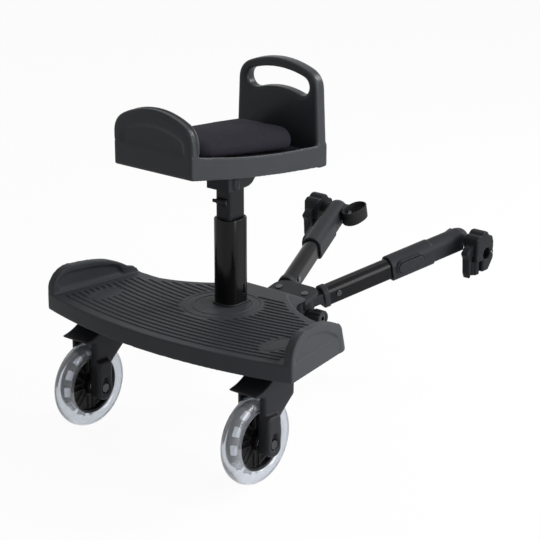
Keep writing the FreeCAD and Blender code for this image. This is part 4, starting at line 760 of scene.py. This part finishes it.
def deck_ridges():
    """Rounded anti-slip ridges along arcs that follow the bowed rear edge."""
    own = sizes()
    radius = (DECK_HIGH.x ** 2 + own.rear_bow ** 2) / (2 * own.rear_bow)
    centre_y = DECK_LOW.y + radius
    shape = bmesh.new()
    half = own.ridge_width / 2
    for index in range(own.ridge_count):
        middle = radius - own.ridge_margin - half - index * own.ridge_pitch
        for run in ridge_runs(middle, centre_y):
            loops = []
            for angle in run:
                end = min(angle - run[0], run[-1] - angle) * middle
                rise = min(1.0, RIDGE_END + end / RIDGE_TAPER)
                loop = []
                for side, height in RIDGE_PROFILE_SHARES:
                    out = middle + side * half
                    z = own.deck_top + own.ridge_height * (height * rise if height > 0 else height)
                    loop.append((out * math.sin(angle), centre_y - out * math.cos(angle), z))
                loops.append(loop)
            ring_strip(shape, loops, closed=False)
    return mesh_from("deck_ridges", shape)


def raised_ring(shape, centre, across, along, height):
    """Thin rounded line round a plain field of the deck."""
    own = sizes()
    loops = []
    for turn in turns(RING_FACETS):
        loop = []
        for roll in turns(RING_PARTS):
            reach = own.ring_wire * math.cos(roll)
            loop.append((
                centre[0] + (across + reach) * math.cos(turn),
                centre[1] + (along + reach) * math.sin(turn),
                own.deck_top + height * math.sin(roll)))
        loops.append(loop)
    ring_strip(shape, loops, closed=True)


def dress_deck(shape):
    """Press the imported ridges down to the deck's top, and let the kick plates' front ends lean back."""
    own = sizes()
    level = own.deck_top + own.ridge_height
    for point in shape.verts:
        place = point.co
        if abs(place.z - level) < FLATTEN_TOLERANCE:
            place.z = own.deck_top
        if abs(place.x) > KICK_INNER and place.z > KICK_FOOT:
            near = (place.y - WHEEL_CENTRE.y - KICK_END) / KICK_BLEND
            place.y -= KICK_LEAN * (place.z - KICK_FOOT) * min(max(near, 0.0), 1.0)


class BOARD_OT_deck(bpy.types.Operator):
    """Moulded deck with kick plates, ridges and plain fields"""

    bl_idname = "board.deck"
    bl_label = "Deck"

    def execute(self, context):
        own = sizes()
        rounded_piece("deck_shell", "deck_moulding", "deck_plastic", own.deck_grid, own.deck_rounds,
                      dress_deck)
        new_piece("deck_ridges", deck_ridges(), "deck_moulding", "board", "deck_plastic")
        shape = bmesh.new()
        disc = (0.0, POST_PLACE.y - own.disc_setback)
        for inset in DISC_RING_INSETS:
            radius = own.disc_radius - inset
            raised_ring(shape, disc, radius, radius, own.ridge_height / 2)
        for side in (1, -1):
            oval = (own.oval_across * side, WHEEL_CENTRE.y + own.oval_ahead)
            raised_ring(shape, oval, own.oval_width - OVAL_RING_INSET, own.oval_length - OVAL_RING_INSET,
                        own.ridge_height / 3)
        new_piece("deck_rings", mesh_from("deck_rings", shape), "deck_moulding", "board", "deck_plastic")
        paint("arm_moulding", "caster_bushes")
        return {"FINISHED"}


# Seat

BOSS_RADIUS = 0.0095
BOSS_PROUD = 0.0035
BOSS_AHEAD = 0.0150
BOSS_TOP = 0.3650
# Foot of a screw column: share of its radius and height over the bracket's foot.
BOSS_FOOT = ((0.80, 0.0004), (0.95, 0.0012), (1.0, 0.0030))
PIVOT_RADIUS = 0.0088
PIVOT_PROUD = 0.0026
PIVOT_SOCKET = 0.0052
PIVOT_ROOT = -0.006
# Rim and mouth of a pivot boss: shares of its radius or socket and of how proud it stands.
PIVOT_RIM = ((1.0, 0.6), (0.95, 0.92), (0.85, 1.0))
PIVOT_MOUTH = ((1.12, 1.0), (1.0, 0.8))
# Floor of its socket: share of the socket and depth.
PIVOT_FLOOR = ((1.0, -0.0020), (0.3, -0.0022))
PIVOT_BACK = 0.0115
PIVOT_RISE = 0.0225
LATHE_PARTS = 40
BEAD_RADIUS = 0.0034
BEAD_INSET = 0.0036
BEAD_SINK = 0.0023
BEAD_PARTS = 12
BEAD_END = 0.15
BEAD_FADE = 6
LIP_RADIUS = 0.0014
LIP_INSET = 0.0016
LIP_SINK = 0.0008
RAIL_STEPS = 48
RAIL_SHORT = 0.0385
RAIL_LOOK = 0.012
RAIL_SLOPE = 0.10
PANEL_THICK = 0.016
PANEL_FOOT = 0.052
PANEL_STEPS = 72
LOOK_FROM = 0.2


def lathe(shape, profile, place):
    """Turn a profile of (radius, height) pairs round an axis; place maps (x, y, height) into the frame."""
    loops = [[place(radius * math.cos(turn), radius * math.sin(turn), height)
              for turn in turns(LATHE_PARTS)] for radius, height in profile]
    ring_strip(shape, loops, closed=False)


def bracket_bosses():
    """Screw columns and pivot bosses on both sides of the seat's head."""
    low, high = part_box("seat_bracket")
    shape = bmesh.new()
    column = [(BOSS_RADIUS * part, low.z + rise) for part, rise in BOSS_FOOT] + [(BOSS_RADIUS, BOSS_TOP)]
    pivot = [(PIVOT_RADIUS, PIVOT_ROOT)]
    pivot += [(PIVOT_RADIUS * part, PIVOT_PROUD * rise) for part, rise in PIVOT_RIM]
    pivot += [(PIVOT_SOCKET * part, PIVOT_PROUD * rise) for part, rise in PIVOT_MOUTH]
    pivot += [(PIVOT_SOCKET * part, depth) for part, depth in PIVOT_FLOOR]
    for side in (1, -1):
        middle = side * (high.x + BOSS_PROUD - BOSS_RADIUS)
        lathe(shape, column, lambda x, y, height: (middle + x, low.y + BOSS_AHEAD + y, height))
        lathe(shape, pivot, lambda x, y, height: (
            side * (high.x + height), high.y - PIVOT_BACK + x, low.z + PIVOT_RISE + y))
    return mesh_from("bracket_bosses", shape)


def panel_edge(tree, y, foot, centre):
    """Outline of the low panel at one place along the seat, found by looking inwards from all round it."""
    points = []
    for index in range(PANEL_STEPS + 1):
        turn = math.pi * index / PANEL_STEPS
        out = Vector((math.cos(turn), 0.0, math.sin(turn)))
        start = centre + out * LOOK_FROM
        start.y = y
        spot = tree.ray_cast(start, -out)[0]
        if spot and spot.z > foot:
            points.append(spot - out * BEAD_SINK)
    return points


def bead(shape, path, across, radius):
    """Round bead along a path, drawn in at both ends."""
    loops = []
    last = len(path) - 1
    for index, point in enumerate(path):
        ahead = (path[min(index + 1, last)] - path[max(index - 1, 0)]).normalized()
        out = ahead.cross(across).normalized()
        fade = min(1.0, BEAD_END + min(index, last - index) / BEAD_FADE)
        loops.append([point + (across * math.cos(roll) + out * math.sin(roll)) * radius * fade
                      for roll in turns(BEAD_PARTS)])
    ring_strip(shape, loops, closed=False)


def seat_beads():
    """Two ribs along the edge of the low panel with a groove between them, and a lip along each rail."""
    low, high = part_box("seat_shell")
    seat = welded_copy("seat_shell")
    tree = BVHTree.FromBMesh(seat)
    seat.free()
    shape = bmesh.new()
    foot = low.z + PANEL_FOOT
    centre = Vector((0.0, low.y, foot))
    lengthwise = Vector((0.0, 1.0, 0.0))
    for y in (low.y + BEAD_INSET, low.y + PANEL_THICK - BEAD_INSET):
        bead(shape, panel_edge(tree, y, foot, centre), lengthwise, BEAD_RADIUS)
    for side in (1, -1):
        path = []
        for index in range(RAIL_STEPS + 1):
            y = low.y + PANEL_THICK + (high.y - low.y - RAIL_SHORT) * index / RAIL_STEPS
            beside = Vector((side * LOOK_FROM, y, low.z + RAIL_LOOK - y * RAIL_SLOPE))
            wall = tree.ray_cast(beside, Vector((-side, 0, 0)))[0]
            if wall:
                x = wall.x - side * LIP_INSET
                top = tree.ray_cast(Vector((x, y, high.z)), Vector((0, 0, -1)))[0]
                if top:
                    path.append(Vector((x, y, top.z - LIP_SINK)))
        bead(shape, path, Vector((1.0, 0.0, 0.0)), LIP_RADIUS)
    return mesh_from("seat_beads", shape)


class BOARD_OT_seat(bpy.types.Operator):
    """Moulded seat with its head"""

    bl_idname = "board.seat"
    bl_label = "Seat"

    def execute(self, context):
        own = sizes()
        rounded_piece("seat_shell", "seat_moulding", "seat_plastic", own.seat_grid, own.seat_rounds)
        rounded_piece("seat_bracket", "arm_moulding", "seat_plastic", own.small_grid, own.small_rounds)
        new_piece("seat_bracket_bosses", bracket_bosses(), "arm_moulding", "seat", "seat_plastic")
        new_piece("seat_panel_beads", seat_beads(), "seat_moulding", "seat", "seat_plastic")
        paint("bright_steel", "seat_screws")
        return {"FINISHED"}


# Cushion

SIM_FRAMES = 20
SIM_PRESSURE = 4.0
SIM_QUALITY = 6
FACES_DOWN = -0.6
LEAST_REACH = 1e-9
SHRINK_SHARE = 0.965


def swell(piece):
    """Let cloth pressure fill the cushion, then keep the swelling within its cap."""
    own = sizes()
    start = np.array([point.co for point in piece.data.vertices])
    low = start[:, 2].min()
    held = piece.vertex_groups.new(name="rests")
    underside = [point.index for point in piece.data.vertices if point.normal.z < FACES_DOWN]
    held.add(underside, 1.0, "REPLACE")
    cloth = piece.modifiers.new("cloth", "CLOTH")
    put(cloth.settings, use_pressure=True, uniform_pressure_force=SIM_PRESSURE, vertex_group_mass="rests",
        quality=SIM_QUALITY)
    cloth.settings.effector_weights.gravity = 0.0
    put(cloth.point_cache, frame_start=1, frame_end=SIM_FRAMES)
    scene = bpy.context.scene
    for step in range(1, SIM_FRAMES + 1):
        scene.frame_set(step)
    settle(piece)
    scene.frame_set(1)
    moved = np.array([point.co for point in piece.data.vertices])
    shift = moved - start
    reach = np.linalg.norm(shift, axis=1, keepdims=True)
    shift *= np.minimum(1.0, own.cushion_cap / np.maximum(reach, LEAST_REACH))
    result = start + shift
    result[:, 2] = np.maximum(result[:, 2], low)
    piece.data.vertices.foreach_set("co", result.astype(np.float32).ravel())
    piece.data.update()


class BOARD_OT_cushion(bpy.types.Operator):
    """Stuffed seat cushion"""

    bl_idname = "board.cushion"
    bl_label = "Cushion"

    def execute(self, context):
        own = sizes()
        shape = welded_copy("seat_cushion")
        low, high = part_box("seat_cushion")
        middle = (low + high) / 2
        middle.z = low.z
        for point in shape.verts:
            point.co = middle + (point.co - middle) * SHRINK_SHARE
        piece = new_object("seat_cushion_stuffed", plain_mesh("cushion", shape))
        put(piece.modifiers.new("skin", "REMESH"), mode="VOXEL", voxel_size=own.cushion_grid)
        settle(piece)
        swell(piece)
        put(piece.modifiers.new("soft", "SUBSURF"), levels=1, render_levels=1)
        settle(piece)
        coat(piece.data, "cushion_cloth")
        piece.data.shade_smooth()
        seat_on(piece, "seat", "cushion_fabric", "seat_cushion")
        return {"FINISHED"}


# Post

POST_HALF = (0.0188, 0.0213)
POST_CORNER = 0.0155
POST_CORNER_PARTS = 10
POST_LIP = 0.0016
POST_LIP_PARTS = 4
POST_SHARP = math.radians(40)
POST_MOUTH_GAP = 0.0008
POST_MOUTH_CORNER = 0.0032
POST_MOUTH_DEPTH = 0.012
SLOT_AHEAD = 0.0050
SLOT_HALF = 0.0016
SLOT_SPAN = (0.190, 0.203)
SLOT_DEPTH = 0.0040


def post_mesh():
    """Lacquered tube with broad corners, a rounded mouth and a slot low on each side."""
    tube_low, tube_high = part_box("post_inner")
    slot_edges = (SLOT_AHEAD - SLOT_HALF, SLOT_AHEAD + SLOT_HALF)
    rows = []

    def row(reach_x, reach_y, corner, middle_y, z):
        section = round_section(reach_x, reach_y, corner, POST_CORNER_PARTS, slot_edges)
        rows.append([(POST_PLACE.x + x, middle_y + y, z) for x, y in section])

    for z in (POST_LOW.z, *SLOT_SPAN, POST_HIGH.z - POST_LIP):
        row(*POST_HALF, POST_CORNER, POST_PLACE.y, z)
    for index in range(1, POST_LIP_PARTS + 1):
        turn = math.radians(90 * index / POST_LIP_PARTS)
        inset = POST_LIP * (1 - math.cos(turn))
        half_x, half_y = (half - inset for half in POST_HALF)
        z = POST_HIGH.z - POST_LIP * (1 - math.sin(turn))
        row(half_x, half_y, POST_CORNER - inset, POST_PLACE.y, z)
    mouth_x = (tube_high.x - tube_low.x) / 2 + POST_MOUTH_GAP
    mouth_y = (tube_high.y - tube_low.y) / 2 + POST_MOUTH_GAP
    for z in (POST_HIGH.z, POST_HIGH.z - POST_MOUTH_DEPTH):
        row(mouth_x, mouth_y, POST_MOUTH_CORNER, (tube_high.y + tube_low.y) / 2, z)
    shape = bmesh.new()
    ring_strip(shape, rows, closed=False)
    for face in list(shape.faces):
        middle = face.calc_center_median()
        ahead = middle.y - POST_PLACE.y
        if SLOT_SPAN[0] < middle.z < SLOT_SPAN[1] and abs(ahead - SLOT_AHEAD) < SLOT_HALF:
            side = math.copysign(1.0, middle.x - POST_PLACE.x)
            for sunk in bmesh.ops.extrude_discrete_faces(shape, faces=[face])["faces"]:
                for point in sunk.verts:
                    point.co.x -= SLOT_DEPTH * side
    mesh = mesh_from("post_outer", shape)
    mesh.set_sharp_from_angle(angle=POST_SHARP)
    return mesh


class BOARD_OT_post(bpy.types.Operator):
    """Telescopic seat post with its release tab"""

    bl_idname = "board.post"
    bl_label = "Post"

    def execute(self, context):
        paint("arm_moulding", "post_foot", "post_guide")
        paint("bright_steel", "post_cross_bolt")
        paint("inner_post_satin", "post_inner")
        new_piece("post_outer_lacquered", post_mesh(), "post_lacquer", "board", "post_gloss", "post_outer")
        arm_piece("release_tab")
        return {"FINISHED"}


# Wheels

TYRE_ARC_POINTS = 19
TYRE_GRIP = 0.002
TYRE_CORNER = 0.0015
TYRE_CROWN = 0.80
LIGHT_LENGTH = 0.0125
LIGHT_WIDTH = 0.0050
LIGHT_DEPTH = 0.0036
LIGHT_ROUND = 0.0009
LIGHT_ROUND_PARTS = 3


def wheel_point(x, radius, turn):
    return (WHEEL_CENTRE.x + x, WHEEL_CENTRE.y + radius * math.sin(turn),
            WHEEL_CENTRE.z + radius * math.cos(turn))


def tyre_profile():
    """Section of a tyre: round crown, flat sides, and an inside that grips the rim."""
    half = (TYRE_HIGH.x - TYRE_LOW.x) / 2
    inside = RIM_RADIUS - TYRE_GRIP
    crown = half * TYRE_CROWN
    shoulder = WHEEL_RADIUS - crown
    points = [(-half + TYRE_CORNER, inside), (-half, inside + TYRE_CORNER)]
    for index in range(TYRE_ARC_POINTS):
        turn = math.pi * index / (TYRE_ARC_POINTS - 1)
        points.append((-half * math.cos(turn), shoulder + crown * math.sin(turn)))
    return points + [(half, inside + TYRE_CORNER), (half - TYRE_CORNER, inside)]


def tyre_mesh():
    shape = bmesh.new()
    loops = [[wheel_point(x, radius, turn) for x, radius in tyre_profile()]
             for turn in turns(sizes().tyre_parts)]
    ring_strip(shape, loops, closed=True)
    return mesh_from("tyre", shape)


def light_mesh():
    """Frosted blocks standing round the rim."""
    shape = bmesh.new()
    for turn in turns(sizes().light_parts):
        made = bmesh.ops.create_cube(shape, size=1.0)["verts"]
        for point in made:
            x = point.co.x * LIGHT_WIDTH
            sideways = point.co.y * LIGHT_LENGTH
            out = RIM_RADIUS + (point.co.z + 0.5) * LIGHT_DEPTH
            point.co = wheel_point(x, math.hypot(sideways, out), turn + math.atan2(sideways, out))
        edges = list(dict.fromkeys(edge for point in made for edge in point.link_edges))
        bmesh.ops.bevel(shape, geom=edges, offset=LIGHT_ROUND, segments=LIGHT_ROUND_PARTS, profile=0.5,
                        affect="EDGES")
    return mesh_from("light_units", shape)


def both_casters(node, mesh, material, slot, ending):
    """Use a mesh made for the right-hand caster on both sides."""
    for side in SIDES:
        own = mesh.copy()
        own_node = f"{node}_{side}"
        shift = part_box(own_node)[0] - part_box(f"{node}_right")[0]
        own.transform(Matrix.Translation(shift))
        new_piece(f"{own_node}_{ending}", own, material, node_body(own_node), slot, own_node)
    bpy.data.meshes.remove(mesh)


class BOARD_OT_casters(bpy.types.Operator):
    """Caster forks and their bolts"""

    bl_idname = "board.casters"
    bl_label = "Casters"

    def execute(self, context):
        own = sizes()
        fork = rounded_mesh("caster_fork_right", own.fork_grid, own.fork_rounds)
        both_casters("caster_fork", fork, "fork_moulding", "fork_plastic", "moulded")
        for side in SIDES:
            paint("bright_steel", f"caster_stem_{side}")
            paint("dark_steel", f"axle_bolt_{side}", f"axle_nut_{side}")
        return {"FINISHED"}


class BOARD_OT_wheels(bpy.types.Operator):
    """Spoked rims, clear tyres and light units"""

    bl_idname = "board.wheels"
    bl_label = "Wheels"

    def execute(self, context):
        own = sizes()
        both_casters("tyre", tyre_mesh(), "tyre_gel", "clear_tyre", "clear")
        both_casters("light_units", light_mesh(), "frosted_block", "light_unit", "frosted")
        rim = rounded_mesh("wheel_rim_right", own.small_grid, own.small_rounds)
        both_casters("wheel_rim", rim, "rim_moulding", "rim_plastic", "moulded")
        for side in SIDES:
            paint("bright_steel", f"wheel_bearings_{side}")
        return {"FINISHED"}


class BOARD_OT_hub(bpy.types.Operator):
    """Arm hub on the front pivot"""

    bl_idname = "board.hub"
    bl_label = "Arm hub"

    def execute(self, context):
        arm_piece("hub_housing")
        arm_piece("hub_cover", sizes().cap_rounds)
        paint("arm_moulding", "pivot_sleeves")
        paint("dark_steel", "pivot_bolt", "arm_pins")
        return {"FINISHED"}


class BOARD_OT_arms(bpy.types.Operator):
    """Arm tubes, knuckles and rivets"""

    bl_idname = "board.arms"
    bl_label = "Arms"

    def execute(self, context):
        for side in SIDES:
            paint("arm_lacquer", f"arm_tube_{side}")
            paint("dark_steel", f"arm_rivet_{side}")
            arm_piece(f"arm_knuckle_{side}")
        return {"FINISHED"}


class BOARD_OT_sleeves(bpy.types.Operator):
    """Telescopic sleeves and their buttons"""

    bl_idname = "board.sleeves"
    bl_label = "Sleeves"

    def execute(self, context):
        for side in SIDES:
            arm_piece(f"arm_sleeve_{side}")
            arm_piece(f"sleeve_button_{side}")
        return {"FINISHED"}


class BOARD_OT_clamps(bpy.types.Operator):
    """Tube clamps with jaws and knobs"""

    bl_idname = "board.clamps"
    bl_label = "Clamps"

    def execute(self, context):
        own = sizes()
        for side in SIDES:
            for node in ("clamp_body", "clamp_jaw", "clamp_knob"):
                rounded_piece(f"{node}_{side}", "clamp_moulding", "clamp_plastic", own.small_grid,
                              own.clamp_rounds, swell=own.clamp_swell)
            paint("bright_steel", f"clamp_hinge_pin_{side}")
        return {"FINISHED"}


# Strap

STRAP_POINTS = 64
STRAP_THICK = 0.002
STRAP_POWER = 0.86
STRAP_EDGE_PARTS = 3
STRAP_UPRIGHT = 0.8


def strap_axes():
    """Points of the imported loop, and its directions across the band, across the loop and along the loop."""
    mesh = frame["nodes"]["strap_loop"].data
    points = np.array([point.co for point in mesh.vertices])
    upright = [face.normal * face.area for face in mesh.polygons if face.normal.z > STRAP_UPRIGHT]
    wide = sum(upright, Vector())
    wide.normalize()
    flat = points - np.outer(points @ np.array(wide), np.array(wide))
    axes = np.linalg.eigh(np.cov(flat.T))[1]
    return points, (wide, Vector(axes[:, 1]), Vector(axes[:, 2]))


def strap_mesh():
    """Flat band bent into a loop, with rounded edges and bowed sides."""
    points, axes = strap_axes()
    wide, span, along = axes
    reach = [points @ np.array(axis) for axis in axes]
    middle = sum((axis * float(run.max() + run.min()) / 2 for axis, run in zip(axes, reach)), Vector())
    half_wide, half_span, half_along = (float(np.ptp(run)) / 2 for run in reach)
    half_thick = STRAP_THICK / 2
    section = round_section(half_wide, half_thick, sizes().strap_edge, STRAP_EDGE_PARTS)
    loops = []
    for turn in turns(STRAP_POINTS):
        over, ahead = math.cos(turn), math.sin(turn)
        out_s = math.copysign(abs(over) ** STRAP_POWER, over) * (half_span - half_thick)
        out_a = math.copysign(abs(ahead) ** STRAP_POWER, ahead) * (half_along - half_thick)
        outwards = (span * (over / half_span) + along * (ahead / half_along)).normalized()
        place = middle + span * out_s + along * out_a
        loops.append([place + wide * w + outwards * t for w, t in section])
    shape = bmesh.new()
    ring_strip(shape, loops, closed=True)
    return mesh_from("strap_loop", shape)


class BOARD_OT_strap(bpy.types.Operator):
    """Safety strap on the left sleeve"""

    bl_idname = "board.strap"
    bl_label = "Strap"

    def execute(self, context):
        new_piece("strap_loop_webbing", strap_mesh(), "strap_weave", node_body("strap_loop"), "webbing",
                  "strap_loop")
        paint("dark_steel", "strap_screw")
        return {"FINISHED"}


# Stage

CAMERA_TARGET = Vector((0.0885, -0.1317, 0.2458))
CAMERA_AZIMUTH = math.radians(39.616)
CAMERA_ELEVATION = math.radians(18.850)
CAMERA_DISTANCE = 2.4529
CAMERA_LENS = 126.97
SENSOR_WIDTH = 36.0
FLOOR_HALF = 40.0
AMBIENT = 0.27
WHITE = (1.0, 1.0, 1.0, 1.0)
FLOOR_PALE = (0.93, 0.93, 0.93, 1.0)
FLOOR_WHITE = 0.945
# Soft lamps: place, where they point, width, height and power.
LAMPS = (
    ("right_softbox", (2.25, 0.35, 0.75), (0.0, -0.1, 0.25), 1.2, 1.5, 45.0),
    ("top_softbox", (-0.4, 0.55, 2.2), (0.0, -0.1, 0.2), 1.1, 1.1, 6.0),
    ("back_softbox", (0.95, 1.45, 1.50), (0.0, -0.1, 0.25), 0.6, 0.6, 30.0),
    ("left_softbox", (-1.9, -1.2, 1.3), (0.0, -0.1, 0.25), 1.2, 1.6, 0.6),
)


def seen_directly(tree):
    """1 for rays that show the background: from the camera, in reflections and through clear pieces."""
    path = add(tree, "LightPath").outputs
    shown = work(tree, "MAXIMUM", path["Is Camera Ray"], path["Is Glossy Ray"])
    return work(tree, "MAXIMUM", shown, path["Is Transmission Ray"])


def studio_world():
    world = bpy.data.worlds.new("studio")
    world.use_nodes = True
    tree = world.node_tree
    ground = next(node for node in tree.nodes if node.type == "BACKGROUND")
    ground.inputs["Color"].default_value = WHITE
    feed(tree, ground.inputs["Strength"], spread(tree, seen_directly(tree), AMBIENT, 1.0))
    bpy.context.scene.world = world


def floor_material():
    made = bpy.data.materials.new("studio_floor")
    made.use_nodes = True
    tree = made.node_tree
    tree.nodes.clear()
    pale = add(tree, "BsdfDiffuse", {"Color": FLOOR_PALE}).outputs[0]
    white = add(tree, "Emission", {"Color": WHITE, "Strength": 1.0}).outputs[0]
    shown = work(tree, "MULTIPLY", seen_directly(tree), FLOOR_WHITE)
    mixed = add(tree, "MixShader", {0: shown, 1: pale, 2: white}).outputs[0]
    add(tree, "OutputMaterial", {"Surface": mixed})
    return made


def aim(holder, place, direction):
    """Put a lamp or camera in its place and point it."""
    holder.location = place
    holder.rotation_mode = "QUATERNION"
    holder.rotation_quaternion = direction.to_track_quat("-Z", "Y")


class BOARD_OT_stage(bpy.types.Operator):
    """Pale floor, soft studio light and the camera"""

    bl_idname = "board.stage"
    bl_label = "Stage"

    def execute(self, context):
        scene = context.scene
        studio_world()
        shape = bmesh.new()
        bmesh.ops.create_grid(shape, x_segments=1, y_segments=1, size=FLOOR_HALF)
        floor = new_object("floor", plain_mesh("floor", shape))
        floor.data.materials.append(floor_material())
        floor.location.z = CAD_BOX[0].z
        for name, place, target, width, height, power in LAMPS:
            lamp = put(bpy.data.lights.new(name, "AREA"), shape="RECTANGLE", size=width, size_y=height,
                       energy=power)
            aim(new_object(name, lamp), place, Vector(target) - Vector(place))
        lens = put(bpy.data.cameras.new("camera"), lens=CAMERA_LENS, sensor_width=SENSOR_WIDTH)
        level = math.cos(CAMERA_ELEVATION)
        back = Vector((math.sin(CAMERA_AZIMUTH) * level, -math.cos(CAMERA_AZIMUTH) * level,
                       math.sin(CAMERA_ELEVATION)))
        scene.camera = new_object("camera", lens)
        aim(scene.camera, CAMERA_TARGET + back * CAMERA_DISTANCE, -back)
        scene.view_settings.view_transform = "Standard"
        return {"FINISHED"}


PIECE_OPERATORS = (
    BOARD_OT_deck, BOARD_OT_seat, BOARD_OT_cushion, BOARD_OT_post, BOARD_OT_casters, BOARD_OT_wheels,
    BOARD_OT_hub, BOARD_OT_arms, BOARD_OT_sleeves, BOARD_OT_clamps, BOARD_OT_strap, BOARD_OT_stage)


class BOARD_PT_pieces(bpy.types.Panel):
    """Pieces, sizes and colours of the board"""

    bl_idname = "BOARD_PT_pieces"
    bl_label = "Buggy board"
    bl_space_type = "VIEW_3D"
    bl_region_type = "UI"
    bl_category = "Buggy board"

    def draw(self, context):
        layout = self.layout
        for operator in PIECE_OPERATORS:
            layout.operator(operator.bl_idname)
        for group in (context.scene.board_sizes, context.scene.board_colours):
            for field in group.__annotations__:
                layout.prop(group, field)


CLASSES = (BoardSizes, BoardColours) + PIECE_OPERATORS + (BOARD_PT_pieces,)


def register():
    for item in CLASSES:
        bpy.utils.register_class(item)
    bpy.types.Scene.board_sizes = PointerProperty(type=BoardSizes)
    bpy.types.Scene.board_colours = PointerProperty(type=BoardColours)


def unregister():
    del bpy.types.Scene.board_colours
    del bpy.types.Scene.board_sizes
    for item in reversed(CLASSES):
        bpy.utils.unregister_class(item)


def main():
    register()
    for operator in PIECE_OPERATORS:
        family, name = operator.bl_idname.split(".")
        getattr(getattr(bpy.ops, family), name)()


if __name__ == "__main__":
    main()
